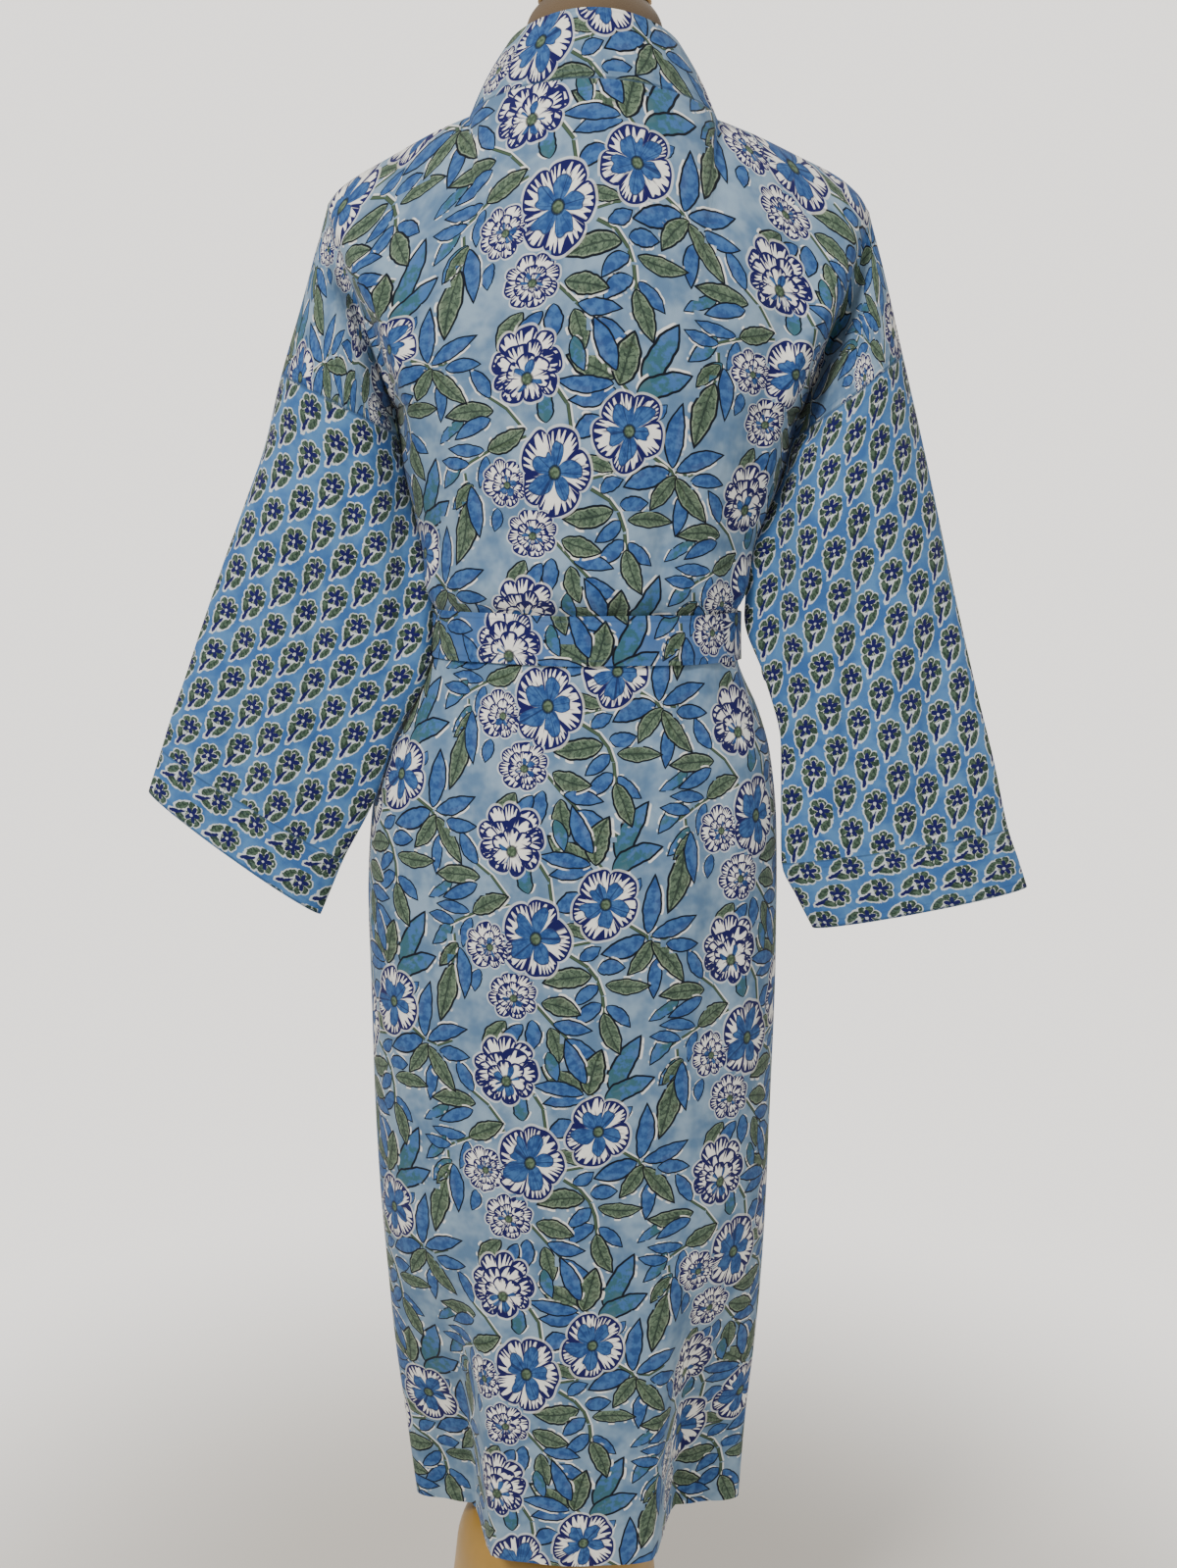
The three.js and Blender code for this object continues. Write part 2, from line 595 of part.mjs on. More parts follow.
// The knot: a soft pad with rounded corners, on the belt's front.
function knotGeometry() {
  const across = acrossOf(KNOT.share);
  const lift = overWrap(KNOT.share, KNOT.z) + BELT_CLEARANCE + BELT_WALL;
  const seat = liftedPoint(across, -1, KNOT.z, lift);
  const centre = liftedPoint(across, -1, KNOT.z, lift + SEAM_GAP + KNOT.depth / 2);
  const out = centre.clone().sub(seat);
  const geometry = new THREE.SphereGeometry(1, 20, 12);
  const position = geometry.attributes.position;
  for (let i = 0; i < position.count; i += 1) {
    const p = new THREE.Vector3().fromBufferAttribute(position, i);
    const size = (Math.abs(p.x) ** 3 + Math.abs(p.y) ** 3 + Math.abs(p.z) ** 3) ** (1 / 3);
    p.divideScalar(size);
    position.setXYZ(i, (p.x * KNOT.width) / 2, (p.z * KNOT.depth) / 2, (p.y * KNOT.height) / 2);
  }
  geometry.index.array.reverse();
  geometry.rotateZ(Math.atan2(-out.x, out.y) + Math.PI);
  geometry.translate(centre.x, centre.y, centre.z);
  return geometry;
}

// A free end of the belt: it leaves the knot narrow and lies on the wrapped front.
function tailFaces(tail) {
  const start = KNOT.z - KNOT.height / 2 - SEAM_GAP;
  const count = 12;
  const rows = [];
  for (let i = count; i >= 0; i -= 1) {
    const t = i / count;
    const z = start - tail.length * t;
    const half = read(BODY, 'z', 'right', z);
    const middle = lerp(tail.top, tail.bottom, smooth(t * 2));
    const width = lerp(TAIL_TOP_HALF, TAIL_HALF, smooth(t / 0.25));
    const off = lerp(KNOT.depth / 2, 1, smooth(t / 0.2)) + WALL + 1;
    const row = [1, 0.33, -0.33, -1].map((k) => {
      const share = (middle + k * width) / half;
      const point = liftedPoint(acrossOf(share), -1, z, overWrap(share, z) + off);
      point.z = z;
      return point;
    });
    rows.push(row);
  }
  return gridFaces(rows, true);
}

// The dress form: the robe's own sections, drawn in, with a flat neck seat and closed arm plates.
const FORM_COLUMNS = [
  ...steps(1, neckAcross('left'), SHOULDER_COLUMNS),
  ...steps(neckAcross('left'), acrossOf(FORM_NECK_X / ARM.left[0].outX), 2),
  ...steps(acrossOf(FORM_NECK_X / ARM.left[0].outX), -acrossOf(FORM_NECK_X / ARM.right[0].outX), 6),
  ...steps(-acrossOf(FORM_NECK_X / ARM.right[0].outX), -neckAcross('right'), 2),
  ...steps(-neckAcross('right'), -1, SHOULDER_COLUMNS),
  -1,
];

function formRing(across, side, z) {
  const half = read(BODY, 'z', sideName(across), z);
  const depth = read(BODY, 'z', side > 0 ? 'back' : 'front', z);
  const inset = read(FORM_INSET, 'z', 'inset', z);
  const round = Math.cos((across * Math.PI) / 2) ** (2 / SECTION_POWER);
  return new THREE.Vector3((half - inset) * shareOf(across), side * (depth - inset) * round, z);
}

function formTop(share, side) {
  const x = share * ARM[sideName(share)][0].outX;
  const pastNeck = (Math.abs(x) - FORM_NECK_X) / (NECK_HALF - FORM_NECK_X);
  if (pastNeck < 1e-6) {
    const round = Math.sqrt(Math.max(0, 1 - (x / FORM_NECK_X) ** 2));
    return new THREE.Vector3(x, side * FORM_NECK_Y * (round < 1e-3 ? 0 : round), FORM_TOP);
  }
  const cloth = topPoint(share, side);
  if (Math.abs(x) < NECK_HALF) {
    const z = lerp(FORM_TOP, NECK_SIDE_Z - FORM_SEAT, pastNeck);
    return new THREE.Vector3(x, NECK_SIDE_Y * pastNeck, z);
  }
  const tip = Math.sign(share) * FORM_TIP_INSET * share ** 4;
  return new THREE.Vector3(cloth.x - tip, cloth.y, cloth.z - FORM_SEAT);
}

function formPoint(across, side, level) {
  if (level <= ARMPIT_Z) return formRing(across, side, level);
  const share = shareOf(across);
  const rise = Math.min(1, level - ARMPIT_Z);
  const foot = formRing(across, side, ARMPIT_Z);
  const top = formTop(share, side);
  const plate = FORM_PLATE * side * ARM[sideName(across)][0].back;
  const armhole = plate * armholeOpen(rise) * Math.abs(share) ** ARMHOLE_SPREAD;
  const y = lerp(top.y, foot.y, bulgeAt(share, rise)) + armhole;
  return new THREE.Vector3(lerp(foot.x, top.x, rise), y, lerp(foot.z, top.z, rise));
}

function formFaces() {
  const levels = [...FORM_LEVELS, ...RISES.slice(1).map((rise) => ARMPIT_Z + rise)];
  const sheet = (side) => levels.map((level) => FORM_COLUMNS.map((across) => formPoint(across, side, level)));
  const back = sheet(1);
  const front = sheet(-1);
  const last = levels.length - 1;
  const edge = (rows, end) => rows.slice(FORM_LEVELS.length - 1).map((row) => row[end]);
  return [
    ...gridFaces(back, false),
    ...gridFaces(front, true),
    ...gridFaces([back[last], front[last]], false),
    ...gridFaces([front[0], back[0]], false),
    ...gridFaces([edge(back, 0), edge(front, 0)], false),
    ...gridFaces([edge(front, FORM_COLUMNS.length - 1), edge(back, FORM_COLUMNS.length - 1)], false),
  ];
}

// A closed body from faces that already meet all round
function closedSolid(faces) {
  const { points, outer } = joined(faces);
  return solid(points, outer);
}

function turned(profile, segments, flat = 1) {
  const geometry = new THREE.LatheGeometry(profile.map((row) => new THREE.Vector2(row.r, row.z)), segments);
  geometry.rotateX(Math.PI / 2);
  geometry.scale(1, flat, 1);
  return geometry;
}

function post() {
  const low = FOOT_PROFILE[FOOT_PROFILE.length - 1].z + SEAM_GAP;
  const high = FORM_LEVELS[0] - SEAM_GAP;
  const geometry = new THREE.CylinderGeometry(POST_RADIUS, POST_RADIUS, high - low, 20);
  geometry.rotateX(Math.PI / 2);
  geometry.translate(STAND_X, 0, (low + high) / 2);
  return geometry;
}

function build() {
  const group = new THREE.Group();
  const add = (name, geometry, material) => {
    const mesh = new THREE.Mesh(geometry, material);
    mesh.name = name;
    group.add(mesh);
  };
  const cloth = [
    { name: 'back', faces: backFaces(), material: flowerPrint() },
    { name: 'front_left', faces: frontFaces('left'), material: flowerPrint() },
    { name: 'front_right', faces: frontFaces('right'), material: flowerPrint() },
    { name: 'sleeve_left', faces: armFaces('left', SEAM_RING, CUFF_RING), material: sprigPrint() },
    { name: 'sleeve_right', faces: armFaces('right', SEAM_RING, CUFF_RING), material: sprigPrint() },
    { name: 'cuff_left', faces: armFaces('left', CUFF_RING, ARM.left.length - 1), material: sprigPrint() },
    { name: 'cuff_right', faces: armFaces('right', CUFF_RING, ARM.right.length - 1), material: sprigPrint() },
    { name: 'collar', faces: collarFaces(), material: flowerPrint() },
    { name: 'belt', faces: beltFaces(), material: flowerPrint(), wall: BELT_WALL },
    ...TAILS.map((tail) => ({ name: tail.name, faces: tailFaces(tail), material: flowerPrint() })),
  ];
  for (const piece of cloth) shareNormals(piece.faces);
  for (const piece of cloth) add(piece.name, clothWall(piece.faces, piece.wall), piece.material);
  add('belt_knot', knotGeometry(), flowerPrint());
  add('form_torso', closedSolid(formFaces()), formCloth());
  add('form_neck', turned(NECK_PROFILE, 40, NECK_FLAT), formCloth());
  add('form_rim', turned(RIM_PROFILE, 40, NECK_FLAT), gold());
  add('form_cap', turned(CAP_PROFILE, 40, NECK_FLAT), darkWood());
  add('stand_post', post(), darkWood());
  const foot = turned(FOOT_PROFILE, 40);
  foot.translate(STAND_X, 0, 0);
  add('stand_foot', foot, ochre());
  group.position.x = ORIGIN_X;
  return group;
}

export default build();
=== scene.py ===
import math

import bpy
import numpy as np
from mathutils import Matrix


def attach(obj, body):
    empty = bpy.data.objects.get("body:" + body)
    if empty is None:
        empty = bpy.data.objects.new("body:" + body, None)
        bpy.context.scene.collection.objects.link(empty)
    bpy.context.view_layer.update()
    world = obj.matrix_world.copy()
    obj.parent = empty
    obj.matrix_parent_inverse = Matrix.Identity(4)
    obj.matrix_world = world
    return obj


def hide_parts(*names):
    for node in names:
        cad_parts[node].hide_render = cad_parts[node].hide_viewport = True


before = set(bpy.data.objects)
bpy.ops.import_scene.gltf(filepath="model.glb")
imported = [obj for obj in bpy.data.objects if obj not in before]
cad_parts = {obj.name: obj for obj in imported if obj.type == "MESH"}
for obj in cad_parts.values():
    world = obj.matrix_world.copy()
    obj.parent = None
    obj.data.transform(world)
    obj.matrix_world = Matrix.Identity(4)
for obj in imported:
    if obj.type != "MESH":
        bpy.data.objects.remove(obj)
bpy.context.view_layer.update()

# Sizes in millimetres, as in the frame
SHIFT_X = 4.0
HEM_Z = 250.0
ARMPIT_Z = 1230.0
SECTION_POWER = 2.25
NECK_HALF = 100.0
NECK_SIDE_Y = 8.0
NECK_SIDE_Z = 1461.0
NECK_BACK_Y = 68.0
NECK_BACK_Z = 1477.0
NECK_FRONT_Y = -45.0
NECK_FRONT_Z = 1440.0
BELT_LOW = 1026.0
BELT_HIGH = 1067.0
COLLAR_WIDTH = 56.0
STAND_X = 20.0
MM = 0.001
BELT_LIFT = 3.3
WRAP_LIFT = 4.0
WRAP_FULL = 0.68
FLUTE_TOP = 560.0
CLOTH_WALL = 1.1

# Level sections of the cloth body: height, left, right, back, front
BODY = np.array([
    (250, 148, 150, 112, 116), (330, 158, 154, 116, 120), (405, 167, 160, 120, 124),
    (480, 173, 164, 122, 126), (560, 179, 166, 124, 128), (650, 183, 167, 126, 130),
    (740, 185, 168, 128, 130), (820, 187, 167, 128, 128), (885, 184, 165, 124, 122),
    (945, 170, 158, 114, 112), (985, 150, 146, 104, 103), (1014, 136, 132, 99, 99),
    (1026, 132, 128, 96, 96), (1067, 131, 127, 96, 96), (1084, 136, 133, 103, 101),
    (1120, 141, 140, 106, 106), (1175, 153, 160, 108, 112), (1230, 163, 176, 108, 116),
], float)
SHOULDER = np.array([
    (0, 1461, 1461), (0.26, 1448, 1449), (0.54, 1431, 1434),
    (0.78, 1416, 1420), (0.92, 1404, 1406), (1, 1393, 1392),
], float)

# Rings down each arm: outer x and z, underarm x and z, middle y, bulge to the back and front
ARM = {
    "left": np.array([
        (216, 1393, 163, 1230, 0, 44, 44), (236, 1318, 162, 1224, 3, 54, 52),
        (254, 1256, 158, 1208, 8, 58, 56), (268, 1200, 148, 1163, 12, 50, 50),
        (285, 1148, 136, 1112, 24, 42, 42), (303, 1098, 127, 1064, 31, 33, 34),
        (320, 1048, 132, 1013, 37, 27, 28), (335, 1003, 158, 962, 41, 24, 24),
        (346, 972, 176, 908, 44, 22, 21), (354, 948, 203, 856, 43, 21, 20),
        (360, 930, 213, 832, 43, 21, 20), (366, 912, 223, 808, 43, 22, 20),
    ], float),
    "right": np.array([
        (226, 1392, 176, 1230, 0, 44, 44), (243, 1330, 172, 1224, 3, 54, 52),
        (256, 1278, 167, 1208, 8, 58, 56), (269, 1228, 154, 1164, 15, 50, 54),
        (283, 1172, 135, 1112, 22, 44, 46), (297, 1116, 131, 1063, 25, 37, 38),
        (311, 1058, 149, 1012, 32, 30, 30), (326, 1000, 163, 958, 39, 24, 24),
        (341, 945, 164, 908, 45, 21, 21), (355, 890, 166, 858, 46, 20, 19),
        (365, 864, 179, 830, 46, 20, 19), (374, 840, 194, 802, 45, 21, 19),
    ], float),
}
SEAM_RING = 2
CUFF_RING = 9
LAST_RING = 11

# The hem's flutes: side, sign, inner and outer edge at the hem and at their top, share of the depth
FLUTES = [
    (1, 1, 72, 97, 84, 116, 0.78), (1, -1, 66, 92, 78, 108, 0.8),
    (-1, 1, 108, 134, 112, 142, 0.42), (-1, -1, 106, 132, 108, 138, 0.46),
]
# Soft vertical folds: side, place and width as shares of the half width, depth, low and high end
FOLDS = [
    (1, 0.84, 0.1, 7, 1060, 1330), (1, -0.8, 0.1, 8, 1060, 1330), (1, 0.5, 0.09, 3.5, 1060, 1200),
    (1, -0.45, 0.1, 3.5, 1060, 1190), (1, 0.7, 0.09, 6, 640, 1040), (1, -0.66, 0.09, 6, 600, 1040),
    (-1, 0.78, 0.1, 7, 1060, 1330), (-1, -0.76, 0.1, 7, 1060, 1330),
    (-1, 0.72, 0.1, 7, 560, 1040), (-1, -0.7, 0.1, 7, 560, 1040),
]
FRONT_EDGE = np.array([
    (250, 42), (650, 40), (1026, 30), (1067, 28), (1150, 3), (1230, -24), (1330, -58), (1420, -88),
    (1461, -100),
], float)

# Creases, given one by one: side, width, then points (x, z, depth); a negative depth is a ridge
CREASES = [
    (1, 8, [(220, 1392, 3), (212, 1359, 14), (197, 1324, 24), (178, 1292, 32), (163, 1245, 28),
            (152, 1200, 12)]),
    (1, 8, [(202, 1385, 0), (186, 1340, -5), (166, 1305, -8), (150, 1262, -8), (141, 1210, -3),
            (138, 1170, 0)]),
    (1, 8, [(-222, 1390, 3), (-220, 1360, 12), (-208, 1314, 24), (-197, 1285, 31), (-187, 1253, 30),
            (-178, 1212, 16)]),
    (1, 7, [(-203, 1310, 0), (-184, 1270, 13), (-171, 1239, 17), (-162, 1200, 10), (-152, 1150, 0)]),
    (1, 8, [(-204, 1370, 0), (-190, 1320, -6), (-165, 1275, -8), (-150, 1225, -7), (-142, 1170, 0)]),
    (1, 11, [(150, 1190, 0), (135, 1140, 4), (118, 1090, 5), (112, 1068, 2)]),
    (1, 10, [(-148, 1180, 0), (-130, 1130, 4), (-112, 1090, 4.5), (-108, 1068, 2)]),
    (1, 8, [(88, 1160, 0), (82, 1120, 2.5), (78, 1069, 3.5)]),
    (1, 7, [(52, 1135, 0), (50, 1100, 2), (48, 1069, 3)]),
    (1, 8, [(18, 1120, 0), (16, 1095, 1.5), (15, 1069, 2.5)]),
    (1, 7, [(-24, 1140, 0), (-22, 1100, 2), (-23, 1069, 3)]),
    (1, 8, [(-60, 1150, 0), (-56, 1110, 2.2), (-54, 1069, 3.5)]),
    (1, 7, [(-88, 1140, 0), (-84, 1100, 2.5), (-80, 1069, 3)]),
    (1, 8, [(96, 1024, 3), (104, 980, 4), (118, 900, 2.5), (126, 820, 0)]),
    (1, 7, [(62, 1024, 2.5), (66, 985, 3), (72, 930, 0)]),
    (1, 9, [(30, 1024, 2), (31, 990, 2.5), (36, 900, 1.5), (38, 820, 0)]),
    (1, 7, [(-8, 1024, 2), (-8, 990, 2), (-10, 945, 0)]),
    (1, 9, [(-42, 1024, 2.5), (-46, 980, 3), (-52, 900, 1.5), (-55, 840, 0)]),
    (1, 8, [(-78, 1024, 3), (-84, 975, 3.5), (-94, 890, 2), (-98, 820, 0)]),
    (1, 8, [(-106, 1022, 3), (-118, 970, 3), (-128, 920, 0)]),
    (1, 16, [(88, 640, 0), (92, 560, 2), (98, 470, 4), (92, 400, 4), (84, 320, 3), (80, 250, 3)]),
    (1, 15, [(-76, 660, 0), (-82, 580, 2), (-90, 500, 4), (-86, 410, 4), (-80, 330, 3), (-76, 250, 3)]),
    (1, 18, [(30, 700, 0), (34, 560, 2), (38, 400, 2.5), (40, 250, 2)]),
    (1, 18, [(-30, 640, 0), (-30, 500, 1.5), (-26, 380, 2), (-24, 250, 1.5)]),
    (1, 12, [(130, 700, 0), (132, 560, 3), (128, 420, 4), (124, 300, 3), (122, 250, 3)]),
    (1, 12, [(-122, 720, 0), (-128, 560, 3), (-126, 420, 4), (-120, 300, 3), (-118, 250, 3)]),
    (-1, 9, [(216, 1388, 0), (203, 1340, 8), (186, 1295, 12), (170, 1250, 9), (158, 1200, 2)]),
    (-1, 9, [(-222, 1388, 0), (-212, 1335, 8), (-196, 1290, 12), (-184, 1245, 9), (-172, 1195, 2)]),
    (-1, 9, [(150, 1180, 0), (128, 1130, 4), (110, 1069, 5)]),
    (-1, 9, [(-146, 1185, 0), (-126, 1130, 4), (-106, 1069, 5)]),
    (-1, 8, [(80, 1150, 0), (72, 1110, 3), (66, 1069, 3.5)]),
    (-1, 8, [(-70, 1140, 0), (-64, 1105, 2.5), (-60, 1069, 3)]),
    (-1, 8, [(92, 1024, 3), (100, 970, 3.5), (112, 880, 0)]),
    (-1, 8, [(-86, 1024, 3), (-92, 965, 3.5), (-104, 870, 0)]),
    (-1, 9, [(44, 1024, 2), (48, 970, 2.5), (52, 880, 0)]),
    (-1, 14, [(86, 660, 0), (92, 520, 3), (98, 380, 4), (100, 250, 3)]),
    (-1, 14, [(-84, 640, 0), (-90, 500, 3), (-96, 380, 4), (-98, 250, 3)]),
]
SLEEVE_CREASES = [
    (1, 7, [(236, 1222, 0), (229, 1150, 5), (225, 1083, 8), (222, 1019, 8), (218, 955, 6),
            (216, 905, 3), (215, 880, 0)]),
    (1, 8, [(198, 1195, 2), (192, 1150, 7), (186, 1100, 5), (184, 1050, 0)]),
    (1, 14, [(292, 1110, 0), (288, 1040, 5), (284, 960, 7), (282, 880, 3)]),
    (1, 9, [(258, 1100, 0), (254, 1010, -4), (250, 930, -4), (248, 860, 0)]),
    (1, 14, [(-166, 1200, 4), (-158, 1150, 16), (-152, 1100, 20), (-153, 1055, 14), (-160, 1000, 4),
            (-164, 960, 0)]),
    (1, 9, [(-184, 1180, 0), (-183, 1110, -4), (-182, 1050, -3), (-184, 980, 0)]),
    (1, 12, [(160, 1190, 5), (152, 1140, 12), (148, 1090, 12), (154, 1040, 6), (166, 985, 0)]),
    (1, 8, [(-228, 1180, 0), (-224, 1100, 5), (-218, 1020, 7), (-214, 930, 6), (-213, 870, 2)]),
    (1, 12, [(-290, 1120, 0), (-286, 1030, 5), (-284, 940, 6), (-284, 860, 3)]),
    (1, 10, [(-252, 1150, 0), (-250, 1050, -2), (-248, 950, -2.5), (-247, 860, 0)]),
    (-1, 8, [(228, 1190, 0), (222, 1100, 3), (220, 1000, 4), (220, 900, 2)]),
    (-1, 10, [(284, 1100, 0), (282, 1010, 3), (280, 930, 2)]),
    (-1, 8, [(-222, 1190, 0), (-220, 1100, 3), (-216, 1000, 4), (-214, 890, 2)]),
    (-1, 10, [(-286, 1100, 0), (-284, 1000, 3), (-282, 900, 2)]),
]


# Small helpers
def lerp(a, b, t):
    return a + (b - a) * t


def smooth(t):
    t = np.clip(t, 0.0, 1.0)
    return t * t * (3 - 2 * t)


def read(table, column, value):
    """Smooth slopes between a table's rows, without overshoot."""
    keys = table[:, 0]
    values = table[:, column]
    gap = np.diff(keys)
    slope = np.diff(values) / gap
    bend = np.zeros(len(keys))
    bend[0], bend[-1] = slope[0], slope[-1]
    for i in range(1, len(keys) - 1):
        one, two = slope[i - 1], slope[i]
        bend[i] = 0 if one * two <= 0 else 2 * one * two / (one + two)
    value = np.clip(np.asarray(value, float), keys[0], keys[-1])
    i = np.clip(np.searchsorted(keys, value, side="right") - 1, 0, len(keys) - 2)
    t = (value - keys[i]) / gap[i]
    return (
        (2 * t**3 - 3 * t**2 + 1) * values[i]
        + (t**3 - 2 * t**2 + t) * gap[i] * bend[i]
        + (3 * t**2 - 2 * t**3) * values[i + 1]
        + (t**3 - t**2) * gap[i] * bend[i + 1]
    )


def points(x, y, z):
    x, y, z = np.broadcast_arrays(x, y, z)
    return np.stack([x, y, z], axis=-1).astype(float)


def length_of(v):
    return np.sqrt((v * v).sum(-1))


def unit(v):
    return v / np.maximum(length_of(v), 1e-9)[..., None]


# The cloth body. across runs from -1 (right side) to 1 (left); level above ARMPIT_Z is a share of the way up
def share_of(across):
    return np.sign(across) * np.sin(np.minimum(np.abs(across), 1.0) * np.pi / 2) ** (2 / SECTION_POWER)


def across_of(share):
    whole = np.minimum(1.0, np.abs(share))
    return np.sign(share) * np.arcsin(whole ** (SECTION_POWER / 2)) * 2 / np.pi


def sided(across, left, right):
    return np.where(across >= 0, left, right)


def flute_share(side, x, z):
    grown = smooth((FLUTE_TOP - z) / (FLUTE_TOP - HEM_Z))
    total = np.zeros(np.broadcast(x, z).shape)
    for row_side, sign, inner_hem, outer_hem, inner_top, outer_top, share in FLUTES:
        if row_side != side:
            continue
        inner = lerp(inner_top, inner_hem, grown)
        outer = lerp(outer_top, outer_hem, grown)
        value = share * grown * smooth((np.abs(x) - inner) / (outer - inner))
        total = np.where((x >= 0) == (sign > 0), value, total)
    return total


def fold_depth(side, share, z):
    depth = np.zeros(np.broadcast(share, z).shape)
    for row_side, at, width, deep, low, high in FOLDS:
        if row_side != side:
            continue
        along = np.sin(np.pi * np.clip((z - low) / (high - low), 0, 1))
        depth = depth + deep * along * np.exp(-(((share - at) / width) ** 2))
    return depth


def ring_point(across, side, z):
    share = share_of(across)
    half = sided(across, read(BODY, 1, z), read(BODY, 2, z))
    depth = read(BODY, 3 if side > 0 else 4, z)
    x = half * share
    round_ = np.cos(np.clip(np.abs(across), 0, 1) * np.pi / 2) ** (2 / SECTION_POWER)
    y = depth * round_ * (1 - flute_share(side, x, z)) - fold_depth(side, share, z) * np.sqrt(round_)
    return points(x, side * y, z)


def tip_of(share):
    return sided(share, ARM["left"][0, 0], ARM["right"][0, 0])


def top_point(share, side):
    tip = tip_of(share)
    x = share * tip
    round_ = np.clip(1 - (x / NECK_HALF) ** 2, 0, 1)
    neck_y = lerp(NECK_SIDE_Y, NECK_BACK_Y if side > 0 else NECK_FRONT_Y, np.sqrt(round_))
    neck_z = lerp(NECK_SIDE_Z, NECK_BACK_Z if side > 0 else NECK_FRONT_Z, round_)
    over_y = NECK_SIDE_Y * (1 - smooth((np.abs(x) - NECK_HALF) / NECK_HALF))
    along = (np.abs(x) - NECK_HALF) / (tip - NECK_HALF)
    over_z = sided(share, read(SHOULDER, 1, along), read(SHOULDER, 2, along))
    in_neck = np.abs(x) < NECK_HALF
    return points(x, np.where(in_neck, neck_y, over_y), np.where(in_neck, neck_z, over_z))


def armhole_open(rise):
    return 2 * np.sqrt(np.clip(rise * (1 - rise), 0, 1))


def upper_point(across, side, rise):
    share = share_of(across)
    foot = ring_point(across, side, ARMPIT_Z)
    top = top_point(share, side)
    bulge = np.clip(1 - rise**2.3, 0, 1) ** lerp(1.0, 0.62, smooth((np.abs(share) - 0.2) / 0.4))
    z = lerp(foot[..., 2], top[..., 2], rise)
    column = 5 if side > 0 else 6
    open_ = sided(across, ARM["left"][0, column], ARM["right"][0, column])
    fold = fold_depth(side, share, z) - fold_depth(side, share, ARMPIT_Z) * (1 - rise)
    y = lerp(top[..., 1], foot[..., 1], bulge) - side * fold * np.sqrt(np.clip(1 - share**2, 0, 1))
    y = y + np.abs(share) ** 9 * armhole_open(rise) * side * open_
    return points(lerp(foot[..., 0], top[..., 0], rise), y, z)


def body_point(across, side, level):
    across, level = np.broadcast_arrays(np.asarray(across, float), np.asarray(level, float))
    low = ring_point(across, side, np.minimum(level, ARMPIT_Z))
    high = upper_point(across, side, np.clip(level - ARMPIT_Z, 0, 1))
    return np.where((level <= ARMPIT_Z)[..., None], low, high)


def height_of(level):
    return np.where(level <= ARMPIT_Z, level, lerp(ARMPIT_Z, NECK_SIDE_Z, level - ARMPIT_Z))


def lifted_point(across, side, level, lift):
    a = body_point(across - 0.01, side, level)
    b = body_point(across + 0.01, side, level)
    up = np.where(np.asarray(level) < ARMPIT_Z, 3.0, 0.02)
    low = body_point(across, side, level - up)
    high = body_point(across, side, np.minimum(level + up, ARMPIT_Z + 1))
    normal = unit(np.cross(b - a, high - low)) * -side
    return body_point(across, side, level) + normal * np.asarray(lift)[..., None]


def arm_point(name, ring, side, rise):
    """ring may lie between two rings of the table."""
    table = np.column_stack([np.arange(LAST_RING + 1), ARM[name]])
    out_x, out_z, in_x, in_z, y, back, front = (read(table, k, ring) for k in range(1, 8))
    sign = 1 if name == "left" else -1
    bulge = side * armhole_open(rise) * (back if side > 0 else front)
    return points(sign * lerp(in_x, out_x, rise), y + bulge, lerp(in_z, out_z, rise))


def crease_depth(creases, side, place):
    """Depth of the listed creases at points, inwards."""
    x, z = place[..., 0], place[..., 2]
    total = np.zeros(x.shape)
    for row_side, width, path in creases:
        if row_side != side:
            continue
        best = np.full(x.shape, 1e9)
        deep = np.zeros(x.shape)
        for (xa, za, da), (xb, zb, db) in zip(path, path[1:]):
            ex, ez = xb - xa, zb - za
            t = np.clip(((x - xa) * ex + (z - za) * ez) / (ex * ex + ez * ez), 0, 1)
            away = (x - xa - t * ex) ** 2 + (z - za - t * ez) ** 2
            closer = away < best
            best = np.where(closer, away, best)
            deep = np.where(closer, lerp(da, db, t), deep)
        total += deep * np.exp(-best / width**2)
    return total


def creased(place, side, creases=CREASES):
    moved = place.copy()
    moved[..., 1] -= side * crease_depth(creases, side, place)
    return moved


BLOUSE_OVER = 6.5
BLOUSE_UNDER = 3.0


def dressed(place, side):
    """Creases, and the way the body's cloth blouses over the belt and springs out below it."""
    moved = creased(place, side)
    z = moved[..., 2]
    above, below = z - BELT_HIGH, BELT_LOW - z
    over = BLOUSE_OVER * smooth((above + 1) / 7) * (1 - smooth((above - 15) / 46))
    under = BLOUSE_UNDER * smooth((below + 1) / 6) * (1 - smooth((below - 8) / 46))
    away = unit(moved[..., :2] / np.array([130.0, 96.0]))
    off_side = smooth((np.abs(moved[..., 1]) - 12) / 40)
    moved[..., :2] += away * ((over + under) * off_side)[..., None]
    return moved


# Rows and columns. Pieces that meet at a seam share them
LOW_LEVELS = np.concatenate([
    np.linspace(HEM_Z, 1020, 136)[:-1], np.linspace(1020, 1090, 18)[:-1], np.linspace(1090, ARMPIT_Z, 25),
])
UPPER_STEPS = 48
RISES = (1 - np.cos(np.pi * np.arange(UPPER_STEPS + 1) / UPPER_STEPS)) / 2
LEVELS = np.concatenate([LOW_LEVELS, ARMPIT_Z + RISES[1:]])
SHOULDER_COLUMNS = 30
NECK_COLUMNS = 56


def neck_across(name):
    return float(across_of(NECK_HALF / ARM[name][0, 0]))


BACK_COLUMNS = np.concatenate([
    np.linspace(1, neck_across("left"), SHOULDER_COLUMNS + 1)[:-1],
    np.linspace(neck_across("left"), -neck_across("right"), NECK_COLUMNS + 1)[:-1],
    np.linspace(-neck_across("right"), -1, SHOULDER_COLUMNS + 1),
])


